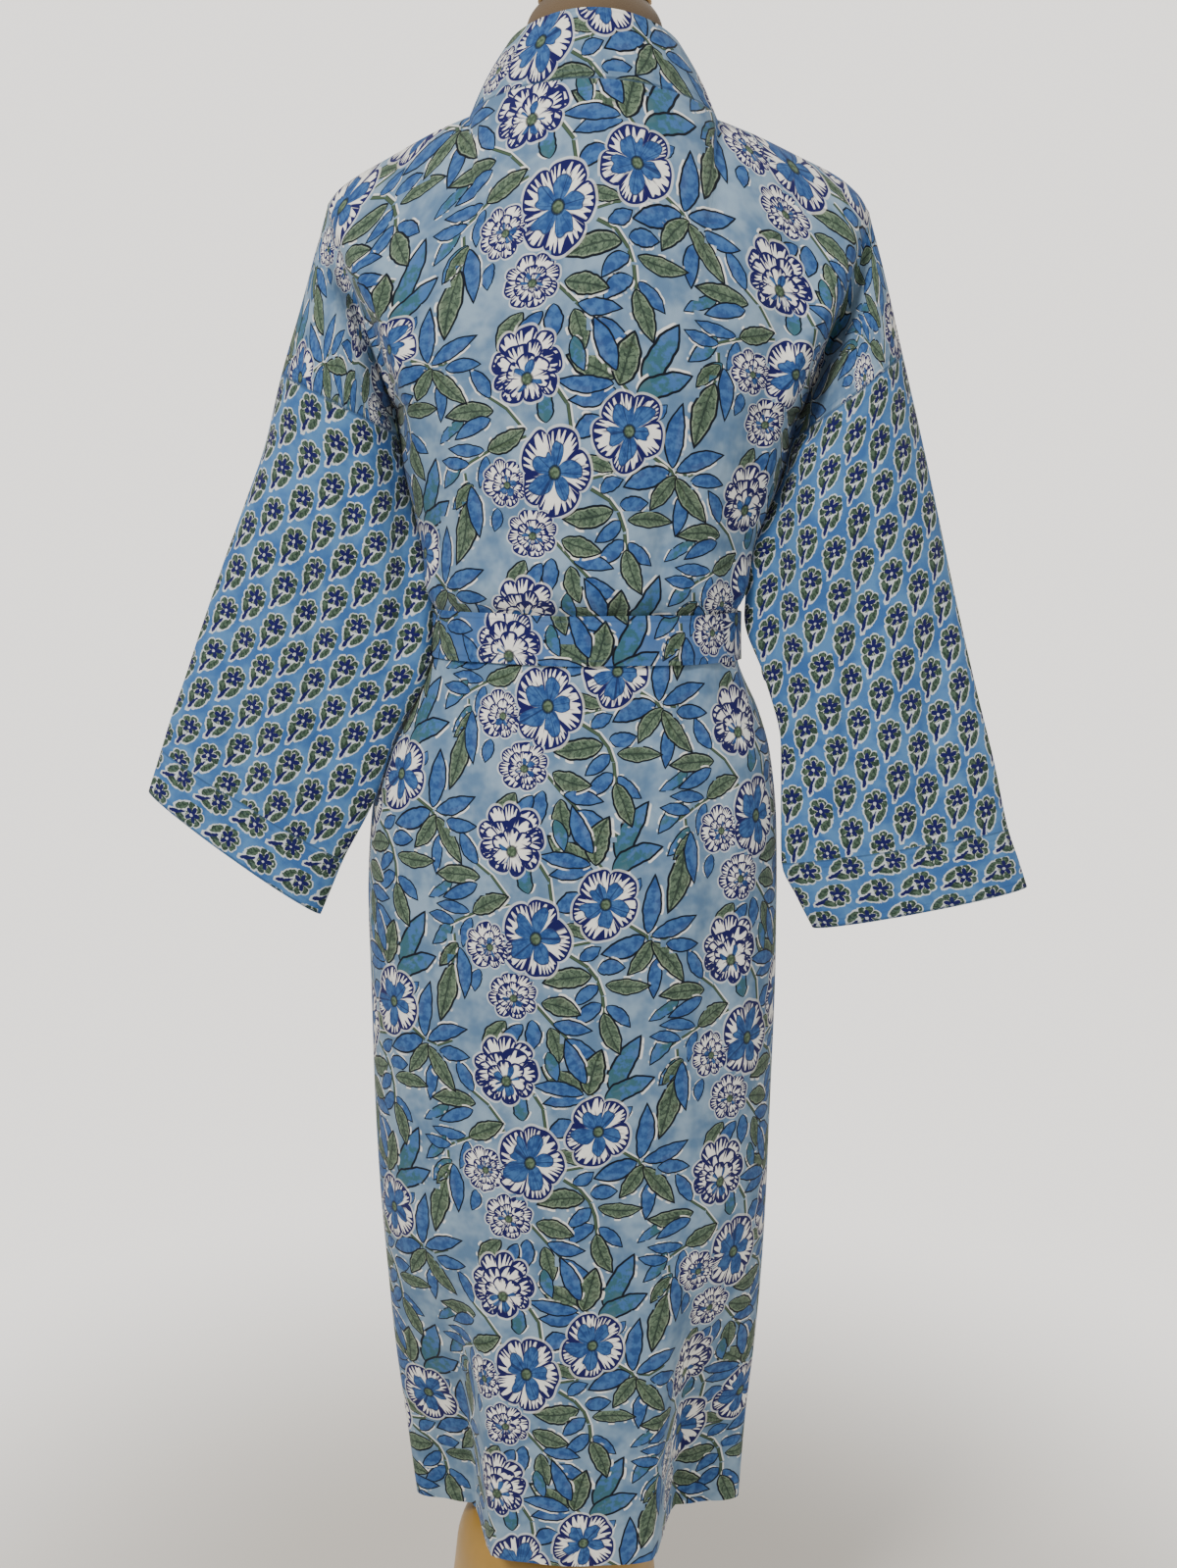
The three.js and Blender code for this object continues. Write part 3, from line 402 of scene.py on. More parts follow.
def along_rows(place):
    """Arc length along each row, from its first column."""
    step = length_of(np.diff(place, axis=1))
    return np.concatenate([np.zeros((place.shape[0], 1)), np.cumsum(step, axis=1)], axis=1)


def along_columns(place):
    step = length_of(np.diff(place, axis=0))
    return np.concatenate([np.zeros((1, place.shape[1])), np.cumsum(step, axis=0)], axis=0)


def cloth_uv(place, centre, sign):
    """Flat cloth coordinates in millimetres: u from the middle column, v up the middle column."""
    across = along_rows(place)
    u = sign * (across - across[:, centre:centre + 1])
    up = along_columns(place)[:, centre] + HEM_Z
    v = np.repeat(up[:, None], place.shape[1], axis=1)
    # The cloth hangs a little off the grain: it leans, and over the shoulder blades it is drawn out
    high = smooth((v - 1100) / 250)
    u = u * (1 - 0.08 * high) - (22 * (v - 430) / 946 - 2)
    v = v - 0.087 * np.maximum(0, v - 1187) + 0.15 * np.abs(u) * high
    return np.stack([u, v], axis=-1)


# A seam is drawn near the edge of a cut only; points further away than this count as plain cloth
SEAM_REACH = 60


def strip_grid(place, uv, seam, flip):
    return {"place": place, "uv": uv, "seam": seam, "flip": flip}


def drop_grid(name, side, edge_uv, away, flip):
    """The half drop shoulder that is cut in one with a body panel, from its armhole edge outwards."""
    rings = np.linspace(0, SEAM_RING, 17)
    place = arm_point(name, rings[:, None], side, RISES[None, :])
    place = creased(place, side)
    out = along_columns(place)
    uv = edge_uv[None] + np.stack([away * out, -0.35 * out], axis=-1)
    seam = out[-1:] - out
    return strip_grid(place, uv, seam, flip)


# Back
def back_grids():
    place = dressed(body_point(BACK_COLUMNS[None, :], 1, LEVELS[:, None]), 1)
    centre = SHOULDER_COLUMNS + NECK_COLUMNS // 2
    uv = cloth_uv(place, centre, 1)
    edge = np.minimum(along_rows(place), along_rows(place)[:, -1:] - along_rows(place))
    high = LEVELS > ARMPIT_Z
    edge = np.where(high[:, None], SEAM_REACH, edge)
    first = len(LOW_LEVELS) - 1
    body = strip_grid(place, uv, np.minimum(edge, SEAM_REACH), False)
    left = drop_grid("left", 1, uv[first:, 0], -1, False)
    right = drop_grid("right", 1, uv[first:, -1], 1, True)
    return [body, left, right]


# Fronts
def wrap_lift(share, level):
    towards_side = smooth((share - WRAP_FULL) / (1 - WRAP_FULL))
    return WRAP_LIFT * (1 - towards_side) * (1 - smooth((height_of(level) - 1240) / 130))


def edge_share(name, level, past):
    x = -read(FRONT_EDGE, 1, height_of(level)) - past
    own, other = (1, 2) if name == "left" else (2, 1)
    column = np.where(x >= 0, own, other)
    low = np.minimum(level, ARMPIT_Z)
    foot = np.where(column == 1, read(BODY, 1, low), read(BODY, 2, low))
    tip = np.where(column == 1, ARM["left"][0, 0], ARM["right"][0, 0])
    half = np.where(level <= ARMPIT_Z, foot, lerp(foot, tip, level - ARMPIT_Z))
    return x / half


def front_point(name, share, level):
    sign = 1 if name == "left" else -1
    lift = wrap_lift(share, level) if name == "left" else np.zeros(np.broadcast(share, level).shape)
    return lifted_point(sign * across_of(share), -1, level, lift)


FRONT_COLUMNS = 52


def front_grids(name):
    edge = across_of(edge_share(name, LEVELS, 0.0))
    t = np.linspace(0, 1, FRONT_COLUMNS + 1)
    across = lerp(edge[:, None], 1.0, t[None, :])
    level = np.repeat(LEVELS[:, None], len(t), axis=1)
    place = front_point(name, share_of(across), level)
    sign = 1 if name == "left" else -1
    place[:, -1] = body_point(np.full(len(LEVELS), float(sign)), -1, LEVELS)
    place = dressed(place, -1)
    run = along_rows(place)
    away = sign
    u = away * (run - run[:, -1:]) + away * 260
    v = along_columns(place)[:, -1:] + HEM_Z + np.zeros_like(run)
    uv = np.stack([u, v], axis=-1)
    low = LEVELS <= ARMPIT_Z
    seam = np.minimum(run, np.where(low[:, None], run[:, -1:] - run, SEAM_REACH))
    first = len(LOW_LEVELS) - 1
    flip = name == "right"
    body = strip_grid(place, uv, np.minimum(seam, SEAM_REACH), flip)
    return [body, drop_grid(name, -1, uv[first:, -1], away, not flip)]


# Sleeves and cuffs
def arm_grids(name, first, last, rows, crosswise):
    rings = np.linspace(first, last, rows + 1)
    back = creased(arm_point(name, rings[:, None], 1, RISES[None, :]), 1, CREASES)
    front = creased(arm_point(name, rings[:, None], -1, RISES[None, :]), -1, CREASES)
    back = creased(back, 1, SLEEVE_CREASES)
    front = creased(front, -1, SLEEVE_CREASES)
    place = np.concatenate([back, front[:, ::-1][:, 1:]], axis=1)
    place[:, -1] = place[:, 0]
    around = along_rows(place)
    top = around[:, UPPER_STEPS:UPPER_STEPS + 1]
    sign = -1 if name == "left" else 1
    u = sign * (around - top)
    down = along_columns(place)
    middle = UPPER_STEPS // 2
    v = -lerp(down[:, middle:middle + 1], down, 0.6)
    if crosswise:
        u, v = v + 11, u + 7
    uv = np.stack([u, v], axis=-1)
    seam = np.minimum(down, down[-1:] - down if crosswise else SEAM_REACH)
    return [strip_grid(place, uv, seam, name == "right")]


# Collar: a stand round the neck that runs down both front edges
COLLAR_STEPS = 9


STAND_HALF = 70.0
STAND_SIDE_Y = 2.0
STAND_SIDE_Z = 1515.0
STAND_BACK_Y = 60.0
STAND_BACK_Z = 1531.0
STAND_LOW_Z = 1330.0


def stand_edge(turn):
    y = lerp(STAND_SIDE_Y, STAND_BACK_Y, np.clip(np.cos(turn), 0, 1) ** 0.9)
    return points(STAND_HALF * np.sin(turn), y, lerp(STAND_SIDE_Z, STAND_BACK_Z, np.cos(turn) ** 2))


def collar_front_rows(name, levels):
    sign = 1 if name == "left" else -1
    standing = smooth((height_of(levels) - STAND_LOW_Z) / (NECK_SIDE_Z - STAND_LOW_Z))[:, None]
    seam = front_point(name, edge_share(name, levels, 0.0), levels)
    rise = stand_edge(np.array(sign * np.pi / 2)) - np.array([sign * NECK_HALF, NECK_SIDE_Y, NECK_SIDE_Z])
    rows = [seam]
    for k in range(1, COLLAR_STEPS + 1):
        past = COLLAR_WIDTH * k / COLLAR_STEPS
        flat = front_point(name, edge_share(name, levels, past), levels) - seam
        upright = rise * k / COLLAR_STEPS
        rows.append(seam + lerp(flat, upright, standing))
    return np.stack(rows, axis=1)


def collar_back_rows(across):
    share = share_of(across)
    seam = top_point(share, 1)
    turn = np.arcsin(np.clip(np.abs(seam[:, 0]) / NECK_HALF, 0, 1)) * np.sign(share)
    top = stand_edge(turn)
    t = (np.arange(COLLAR_STEPS + 1) / COLLAR_STEPS)[None, :, None]
    rows = lerp(seam[:, None], top[:, None], t)
    round_ = np.sin(np.pi * t[..., 0]) * 2.2
    rows[..., 1] += round_ * np.cos(turn)[:, None]
    rows[..., 0] += round_ * np.sin(turn)[:, None]
    return rows


def collar_grids():
    neck = BACK_COLUMNS[SHOULDER_COLUMNS + 1:SHOULDER_COLUMNS + NECK_COLUMNS]
    left = dressed(collar_front_rows("left", LEVELS), -1)
    right = dressed(collar_front_rows("right", LEVELS), -1)[::-1]
    place = np.concatenate([left, collar_back_rows(neck), right], axis=0)
    down = along_columns(place)[:, COLLAR_STEPS // 2]
    across = along_rows(place)
    middle = down[len(left) + len(neck) // 2]
    u = across + 18
    v = np.repeat((down - middle)[:, None], place.shape[1], axis=1)
    seam = np.minimum(across, across[:, -1:] - across + 4)
    return [strip_grid(place, np.stack([v, u], axis=-1), seam, True)]


# Belt, knot and free ends
def over_wrap(share, level):
    return wrap_lift(share, level) * (1 - smooth((-share - WRAP_FULL - 0.04) / 0.25))


def belt_grids():
    levels = np.linspace(BELT_LOW + 0.5, BELT_HIGH - 0.5, 10)
    columns = 72
    rows = []
    for side in (1, -1):
        turn = np.linspace(1, -1, columns + 1)[:-1] * side
        across = np.repeat(turn[None, :], len(levels), axis=0)
        level = np.repeat(levels[:, None], columns, axis=1)
        wrap = over_wrap(share_of(across), level) if side < 0 else 0 * across
        lift = wrap + BELT_LIFT
        place = lifted_point(across, side, level, lift)
        flat = body_point(across, side, level)
        flat[..., 0] += np.sign(across) * lift
        place = np.where((np.abs(across) >= 1)[..., None], flat, place)
        rows.append(place)
    place = np.concatenate(rows, axis=1)
    place = np.concatenate([place, place[:, :1]], axis=1)
    run = along_rows(place)
    height = place[..., 2] - BELT_LOW
    sag = 0.8 * np.sin(run / 37.0) + 0.6 * np.sin(run / 17.0 + 1.0)
    place[..., 2] += sag * 0.5
    uv = np.stack([run, height + 20], axis=-1)
    seam = np.minimum(height, BELT_HIGH - BELT_LOW - height) + 1.5
    return [strip_grid(place, uv, seam, False)]


KNOT = {"share": -0.18, "z": 1046.0, "width": 50.0, "depth": 23.0, "height": 46.0}
TAILS = {"belt_end_left": (-8.0, 14.0, 300.0), "belt_end_right": (-38.0, -66.0, 335.0)}


def tail_grids(name):
    top, bottom, long = TAILS[name]
    start = KNOT["z"] - KNOT["height"] / 2 - 0.3
    t = np.linspace(1, 0, 61)[:, None]
    k = np.linspace(1, -1, 9)[None, :]
    z = start - long * t
    half = read(BODY, 2, z)
    middle = lerp(top, bottom, smooth(t * 2))
    width = lerp(10.0, 20.0, smooth(t / 0.25))
    off = lerp(KNOT["depth"] / 2, 1.0, smooth(t / 0.2)) + 2.5
    share = (middle + k * width) / half
    level = z + 0 * k
    place = lifted_point(across_of(share), -1, level, over_wrap(share, level) + off)
    place[..., 2] = level
    place[..., 1] += 1.6 * np.sin(k * 2.4 + t * 5) * smooth(t * 3) - 1.2 * smooth(t * 3)
    run = along_columns(place)
    uv = np.stack([run, 30 + 20 * k + 0 * t], axis=-1)
    seam = np.minimum(20 * (1 - np.abs(k)) + 1.5 + 0 * t, 20)
    return [strip_grid(place, uv, seam, True)]


# The flower trail, charted: one half-drop repeat, in millimetres.
# A neighbour column lies COLUMN_STEP to the side and REPEAT / 2 up.
COLUMN_STEP = 188.0
REPEAT = 189.0
PRINT_U = -40.0
PRINT_V = 242.0
PRINT_REACH_U = 160
PRINT_REACH_V = 140
# Flowers: kind (0 open, 1 round, 2 side view), x, y, half width, half height, turn in degrees
FLOWERS = [
    (0, 0, 0, 28, 34, 4), (1, -39, -8, 18, 20, 20), (1, -17, -48, 21, 20, -30),
    (0, 55, 29, 27, 30, -18), (2, -23, 80, 27, 30, 8),
]
# Leaves: kind (0 blue, 1 green, 2 blue-green), base x and y, tip x and y, width
LEAVES = [
    (1, 42, 65, 8, 83, 16), (1, 46, 61, 55, 98, 18), (0, 43, 71, 26, 107, 12), (2, 64, 65, 86, 109, 17),
    (2, 60, 57, 98, 74, 16), (0, 41, 61, 1, 67, 11), (0, 43, 57, 10, 52, 12), (2, -7, 37, -10, 62, 12),
    (0, 33, 38, 14, 25, 14), (1, 21, 10, 45, 1, 10), (0, 36, -16, 52, -6, 10), (0, 51, -25, 72, -23, 12),
    (0, 87, 2, 54, -11, 15), (1, 93, -1, 75, -28, 13), (0, 90, 6, 94, 51, 13), (0, 94, 3, 130, 17, 12),
    (0, 106, -4, 133, -6, 11), (1, 94, -3, 121, -36, 13), (0, 99, -16, 97, -48, 11),
    (1, 117, 71, 106, 23, 17),
    (2, 115, 109, 96, 86, 11), (2, 121, 89, 104, 68, 11), (0, 123, 85, 128, 45, 11),
    (1, 45, -30, 8, -36, 16),
    (1, 58, -37, 93, -38, 12), (0, 51, -38, 33, -54, 11), (0, 54, -53, 35, -70, 12),
    (1, 7, -53, 37, -62, 14),
    (0, 59, -55, 78, -72, 10), (1, 57, -61, 71, -94, 14), (0, 17, -70, 47, -75, 11),
    (1, 14, -74, 22, -102, 13),
    (0, 27, -83, 55, -99, 11), (1, -23, -70, -40, -96, 14), (0, -9, -72, -27, -97, 12),
    (0, -1, -68, -1, -93, 12),
    (0, -46, -28, -49, -46, 9), (1, -52, 19, -24, 33, 14), (1, -48, 48, -87, 47, 14),
    (0, -50, 59, -65, 84, 10),
    (0, -50, 42, -79, 29, 11), (2, -72, 42, -95, 27, 9), (0, -56, 19, -86, 22, 9), (0, -69, 9, -94, 13, 9),
    (0, -54, 14, -60, -10, 9), (2, 12, 96, 20, 72, 10), (1, -66, -8, -82, -28, 11), (0, 73, 38, 82, 50, 8),
]
# Stems: points, then width
STEMS = [
    ([(29, -14), (42, -22), (50, -32), (55, -45), (57, -60)], 2.6),
    ([(76, 11), (89, 3), (98, -11), (103, -24)], 2.4),
    ([(-9, 66), (1, 60), (9, 48), (12, 30)], 2.4),
    ([(-52, 60), (-37, 49), (-24, 33)], 2.0),
    ([(-24, 27), (-50, 19), (-66, 11), (-78, 4)], 2.0),
    ([(3, -56), (16, -70), (29, -83), (58, -101)], 2.2),
    ([(29, -5), (43, -2), (53, 8)], 2.0),
    ([(55, 54), (48, 62), (41, 72)], 2.0),
    ([(112, 62), (120, 80), (118, 96)], 2.0),
    ([(93, 2), (104, 0), (117, 6)], 1.8),
]


def repeats(low, high):
    """Every place of the repeat that a cloth piece can reach."""
    found = []
    first = math.floor((low[0] - PRINT_REACH_U - PRINT_U) / COLUMN_STEP)
    last = math.ceil((high[0] + PRINT_REACH_U - PRINT_U) / COLUMN_STEP)
    for column in range(first, last + 1):
        lift = REPEAT / 2 if column % 2 else 0.0
        bottom = math.floor((low[1] - PRINT_REACH_V - PRINT_V - lift) / REPEAT)
        top = math.ceil((high[1] + PRINT_REACH_V - PRINT_V - lift) / REPEAT)
        for row in range(bottom, top + 1):
            seed = ((column * 37 + row * 17) % 19) / 19.0
            shift = (math.sin(column * 3.1 + row * 1.7) * 1.5, math.cos(column * 1.3 + row * 2.3) * 1.5)
            u = PRINT_U + column * COLUMN_STEP + shift[0]
            v = PRINT_V + row * REPEAT + lift + shift[1]
            found.append((u, v, seed))
    return found


def leaf_layers():
    """Spreads the leaves over three layers, so that two leaves of one layer are never neighbours."""
    def middle(leaf):
        return np.array([(leaf[1] + leaf[3]) / 2, (leaf[2] + leaf[4]) / 2])

    def apart(a, b):
        best = 1e9
        for column, up in ((0, 0), (1, 0.5), (1, -0.5), (-1, 0.5), (-1, -0.5), (0, 1), (0, -1)):
            shift = np.array([column * COLUMN_STEP, up * REPEAT])
            ends_a = np.array([[a[1], a[2]], middle(a), [a[3], a[4]]])
            ends_b = np.array([[b[1], b[2]], middle(b), [b[3], b[4]]]) + shift
            best = min(best, float(length_of(ends_a[:, None] - ends_b[None, :]).min()))
        return best

    layers = [[], [], []]
    for leaf in LEAVES:
        room = [min([apart(leaf, other) for other in layer], default=1e9) for layer in layers]
        layers[int(np.argmax(room))].append(leaf)
    return layers


LEAF_LAYERS = leaf_layers()


def nearest(centres, distance):
    """For each centre, the number of the motif at the smallest distance, a few thousand centres at a time."""
    step = 4000
    found = [np.argmin(distance(centres[k:k + step, None]), axis=1) for k in range(0, len(centres), step)]
    return np.concatenate(found)


def stroke_places(corners, centres, rows, reach):
    """Places on the nearest stroke: 0 to 1 along it, -1 to 1 across it. Rows hold both ends and half width."""
    start, end, half = rows[:, 0:2], rows[:, 2:4], rows[:, 4]
    along = end - start
    size = length_of(along)

    def distance(part):
        t = np.clip(((part - start) * along).sum(-1) / size**2, 0.05, 0.95)
        return length_of(part - start - t[..., None] * along) - half * reach

    chosen = nearest(centres, distance)
    ahead = (along / size[:, None])[chosen][:, None]
    aside = np.stack([-ahead[..., 1], ahead[..., 0]], axis=-1)
    local = corners - start[chosen][:, None]
    s = (local * ahead).sum(-1) / size[chosen][:, None]
    return chosen, s, (local * aside).sum(-1) / half[chosen][:, None]


def leaf_attribute(corners, centres, layer, tiles):
    rows = []
    for tile_x, tile_y, seed in tiles:
        for n, (kind, bx, by, tx, ty, wide) in enumerate(layer):
            long_x, long_y = tx - bx, ty - by
            code = kind + 0.05 + 0.9 * ((n * 0.618 + seed * 0.37) % 1.0)
            base = (tile_x + bx - 0.03 * long_x, tile_y + by - 0.03 * long_y)
            tip = (tile_x + tx + 0.06 * long_x, tile_y + ty + 0.06 * long_y)
            rows.append((*base, *tip, wide * 0.6, code))
    rows = np.array(rows, float)
    chosen, s, t = stroke_places(corners, centres, rows, 0.8)
    return np.stack([s, t, 0 * s + rows[chosen, 5][:, None]], axis=-1)


def stem_attribute(corners, centres, tiles):
    rows = []
    for tile_x, tile_y, _ in tiles:
        for path, wide in STEMS:
            for (xa, ya), (xb, yb) in zip(path, path[1:]):
                rows.append((tile_x + xa, tile_y + ya, tile_x + xb, tile_y + yb, wide / 2))
    _, s, t = stroke_places(corners, centres, np.array(rows, float), 1.0)
    return np.stack([s, t, 0 * s], axis=-1)


def flower_attribute(corners, centres, tiles):
    rows = []
    for tile_x, tile_y, seed in tiles:
        for n, (kind, x, y, wide, tall, angle) in enumerate(FLOWERS):
            code = kind + 0.05 + 0.9 * ((n * 0.618 + seed * 0.5) % 1.0)
            rows.append((tile_x + x, tile_y + y, wide, tall, math.radians(angle), code))
    rows = np.array(rows, float)
    middle, half = rows[:, 0:2], rows[:, 2:4]
    chosen = nearest(centres, lambda part: length_of((part - middle) / half))
    x, y = np.moveaxis(corners - middle[chosen][:, None], -1, 0)
    c, s = np.cos(rows[chosen, 4])[:, None], np.sin(rows[chosen, 4])[:, None]
    local = np.stack([x * c + y * s, y * c - x * s], axis=-1) / half[chosen][:, None]
    return np.concatenate([local, 0 * local[..., :1] + rows[chosen, 5][:, None, None]], axis=-1)


# Meshes. Points that agree to 1 / WELD_STEPS mm are one
WELD_STEPS = 20


def add_object(name, mesh):
    piece = bpy.data.objects.new(name, mesh)
    bpy.context.scene.collection.objects.link(piece)
    return piece


def build_mesh(name, grids, wall, printed):
    """A sheet from grids of points: its outer layer and, with a wall, an inner layer and the rims between."""
    place, uv, seam, quads = [], [], [], []
    base = 0
    for grid in grids:
        rows, columns = grid["place"].shape[:2]
        index = np.arange(rows * columns).reshape(rows, columns) + base
        quad = np.stack([index[:-1, :-1], index[:-1, 1:], index[1:, 1:], index[1:, :-1]], axis=-1)
        quad = quad.reshape(-1, 4)
        quads.append(quad[:, ::-1] if grid["flip"] else quad)
        place.append(grid["place"].reshape(-1, 3))
        uv.append(grid["uv"].reshape(-1, 2))
        seam.append(np.broadcast_to(grid["seam"], (rows, columns)).reshape(-1))
        base += rows * columns
    place, uv, seam, quads = (np.concatenate(a) for a in (place, uv, seam, quads))
    rounded = np.round(place * WELD_STEPS).astype(int)
    _, first, joined = np.unique(rounded, axis=0, return_index=True, return_inverse=True)
    spots = place[first]
    welded = joined.reshape(-1)[quads]
    a, b, c, d = (spots[welded[:, k]] for k in range(4))
    face_normal = np.cross(c - a, d - b)
    good = length_of(face_normal) > 1e-6
    welded, quads, face_normal = welded[good], quads[good], face_normal[good]
    normal = np.zeros_like(spots)
    for k in range(4):
        np.add.at(normal, welded[:, k], face_normal)
    normal = unit(normal)
    count = len(spots)

    corner_uv = uv[quads]
    corner_seam = seam[quads]
    layers = {}
    if printed:
        centres = corner_uv.mean(axis=1)
        tiles = repeats(centres.min(axis=0), centres.max(axis=0))
        for n, layer in enumerate(LEAF_LAYERS):
            layers["leaf_%d" % n] = leaf_attribute(corner_uv, centres, layer, tiles)
        layers["flower"] = flower_attribute(corner_uv, centres, tiles)
        layers["stem"] = stem_attribute(corner_uv, centres, tiles)
    layers["cloth"] = np.concatenate([corner_uv, corner_seam[..., None]], axis=-1)

    faces, sources = [], []
    for n, quad in enumerate(welded.tolist()):
        keep = [k for k in range(4) if quad[k] != quad[k - 1]]
        if len(keep) < 3:
            continue
        faces.append([quad[k] for k in keep])
        sources.append([(n, k) for k in keep])
    edges = {}
    for face, source in zip(faces, sources):
        for k in range(len(face)):
            edges[face[k - 1], face[k]] = source[k - 1], source[k]
    border = [(pair, source) for pair, source in edges.items() if pair[::-1] not in edges]
    if wall:
        for face, source in list(zip(faces, sources)):
            faces.append([corner + count for corner in reversed(face)])
            sources.append(source[::-1])
        for (p, q), (source_p, source_q) in border:
            faces.append([q, p, p + count, q + count])
            sources.append([source_q, source_p, source_p, source_q])
        spots = np.concatenate([spots, spots - normal * wall])

    mesh = bpy.data.meshes.new(name)
    mesh.from_pydata(((spots + [SHIFT_X, 0, 0]) * MM).tolist(), [], faces)
    flat = np.array([n * 4 + k for source in sources for n, k in source])
    for label, values in layers.items():
        attribute = mesh.attributes.new(label, "FLOAT_VECTOR", "CORNER")
        attribute.data.foreach_set("vector", values.reshape(-1, 3)[flat].astype(np.float32).reshape(-1))
    uv_layer = mesh.uv_layers.new(name="UVMap")
    uv_layer.data.foreach_set("uv", (corner_uv.reshape(-1, 2)[flat] * MM).astype(np.float32).reshape(-1))
    mesh.polygons.foreach_set("use_smooth", np.ones(len(faces), bool))
    sharp = set()
    for (p, q), _ in border:
        sharp.add((min(p, q), max(p, q)))
        sharp.add((min(p, q) + count, max(p, q) + count))
    marks = np.array([tuple(sorted(edge.vertices)) in sharp for edge in mesh.edges], bool)
    mesh.edges.foreach_set("use_edge_sharp", marks)
    mesh.update()
    return add_object(name, mesh)


# Materials
def linear(*rgb):
    def one(value):
        value /= 255.0
        return value / 12.92 if value <= 0.04045 else ((value + 0.055) / 1.055) ** 2.4
    return tuple(one(v) for v in rgb) + (1.0,)


class Flow:
    """A number that runs through a shader, so that its sums can be written plainly."""

    def __init__(self, graph, socket):
        self.graph = graph
        self.socket = socket

    def __add__(self, other):
        return self.graph.math("ADD", self, other)

    def __radd__(self, other):
        return self.graph.math("ADD", other, self)

    def __sub__(self, other):
        return self.graph.math("SUBTRACT", self, other)

    def __rsub__(self, other):
        return self.graph.math("SUBTRACT", other, self)

    def __mul__(self, other):
        return self.graph.math("MULTIPLY", self, other)

    def __truediv__(self, other):
        return self.graph.math("DIVIDE", self, other)

    def __pow__(self, other):
        return self.graph.math("POWER", self, other)

    def __abs__(self):
        return self.graph.math("ABSOLUTE", self)


class Graph:
    """A short way to write shader nodes."""

    def __init__(self, tree):
        self.tree = tree

    def node(self, kind, **settings):
        made = self.tree.nodes.new(kind)
        for key, value in settings.items():
            setattr(made, key, value)
        return made

    def put(self, socket, value):
        if isinstance(value, Flow):
            value = value.socket
        if isinstance(value, bpy.types.NodeSocket):
            self.tree.links.new(value, socket)
        else:
            socket.default_value = value

    def put_all(self, sockets, values):
        for socket, value in zip(sockets, values):
            self.put(socket, value)

    def math(self, operation, *values, clamp=False):
        made = self.node("ShaderNodeMath", operation=operation, use_clamp=clamp)
        self.put_all(made.inputs, values)
        return Flow(self, made.outputs[0])

    def larger(self, first, *others):
        for other in others:
            first = self.math("MAXIMUM", first, other)
        return first

    def part(self, value):
        return self.math("FRACT", value)

    def length(self, x, y):
        return self.math("SQRT", x * x + y * y)

    def humps(self, turn):
        """0 to 1 and back, once each half turn."""
        return abs(self.math("SINE", turn))

    def teeth(self, turn):
        """0 in the middle of each whole number's stretch, 0.5 at its ends."""
        return abs(self.part(turn) - 0.5)

    def is_kind(self, value, kind):
        return self.math("COMPARE", value, kind, 0.5)

    def ramp(self, value, low, high):
        """0 below low, 1 above high, smooth between; high may lie below low."""
        made = self.node("ShaderNodeMapRange", interpolation_type="SMOOTHSTEP")
        self.put_all(made.inputs, (value, low, high))
        return Flow(self, made.outputs["Result"])

    def band(self, value, low, low_full, high_full, high):
        """1 from low_full to high_full, 0 outside low and high."""
        return self.ramp(value, low, low_full) * self.ramp(value, high, high_full)

    def mix(self, share, one, two):
        made = self.node("ShaderNodeMix", data_type="RGBA")
        self.put(made.inputs["Factor"], share)
        self.put_all(made.inputs[6:8], (one, two))
        return made.outputs[2]

    def split(self, vector):
        made = self.node("ShaderNodeSeparateXYZ")
        self.put(made.inputs[0], vector)
        return [Flow(self, socket) for socket in made.outputs]

    def join(self, x, y, z=0.0):
        made = self.node("ShaderNodeCombineXYZ")
        self.put_all(made.inputs, (x, y, z))
        return made.outputs[0]

    def noise(self, vector, scale, detail=2.0, rough=0.5):
        made = self.node("ShaderNodeTexNoise")
        self.put(made.inputs["Vector"], vector)
        set_inputs(made, Scale=scale, Detail=detail, Roughness=rough)
        return Flow(self, made.outputs["Fac"])

    def attribute(self, name):
        return self.node("ShaderNodeAttribute", attribute_name=name).outputs["Vector"]

    def bump(self, shader, height, strength, distance):
        made = self.node("ShaderNodeBump")
        set_inputs(made, Strength=strength, Distance=distance)
        self.put(made.inputs["Height"], height)
        self.put(shader.inputs["Normal"], made.outputs["Normal"])


BLUE = linear(62, 106, 162)
BLUE_DARK = linear(36, 74, 132)
GREEN = linear(68, 87, 68)
GREEN_LIGHT = linear(100, 120, 96)
TEAL = linear(52, 98, 112)
INK = linear(4, 12, 26)
VEIN = linear(30, 46, 34)
INDIGO = linear(15, 16, 86)
CREAM = linear(255, 254, 246)
GROUND_PALE = linear(142, 168, 191)
GROUND_DEEP = linear(92, 124, 158)
SPRIG_BLUE = linear(86, 134, 184)
SPRIG_BLUE_DEEP = linear(56, 102, 162)
# The sprigs stand in columns, each a half repeat above its neighbour, in millimetres
SPRIG_STEP = 23.0
SPRIG_REPEAT = 35.5


def new_group(name):
    """A node group that paints a motif over a colour, from the place on it."""
    group = bpy.data.node_groups.new(name, "ShaderNodeTree")
    for label, kind in (("place", "Vector"), ("under", "Color"), ("blotch", "Float")):
        group.interface.new_socket(label, in_out="INPUT", socket_type="NodeSocket" + kind)
    group.interface.new_socket("colour", in_out="OUTPUT", socket_type="NodeSocketColor")
    g = Graph(group)
    place, under, blotch = g.node("NodeGroupInput").outputs[:3]
    return group, g, place, under, Flow(g, blotch), g.node("NodeGroupOutput").inputs["colour"]


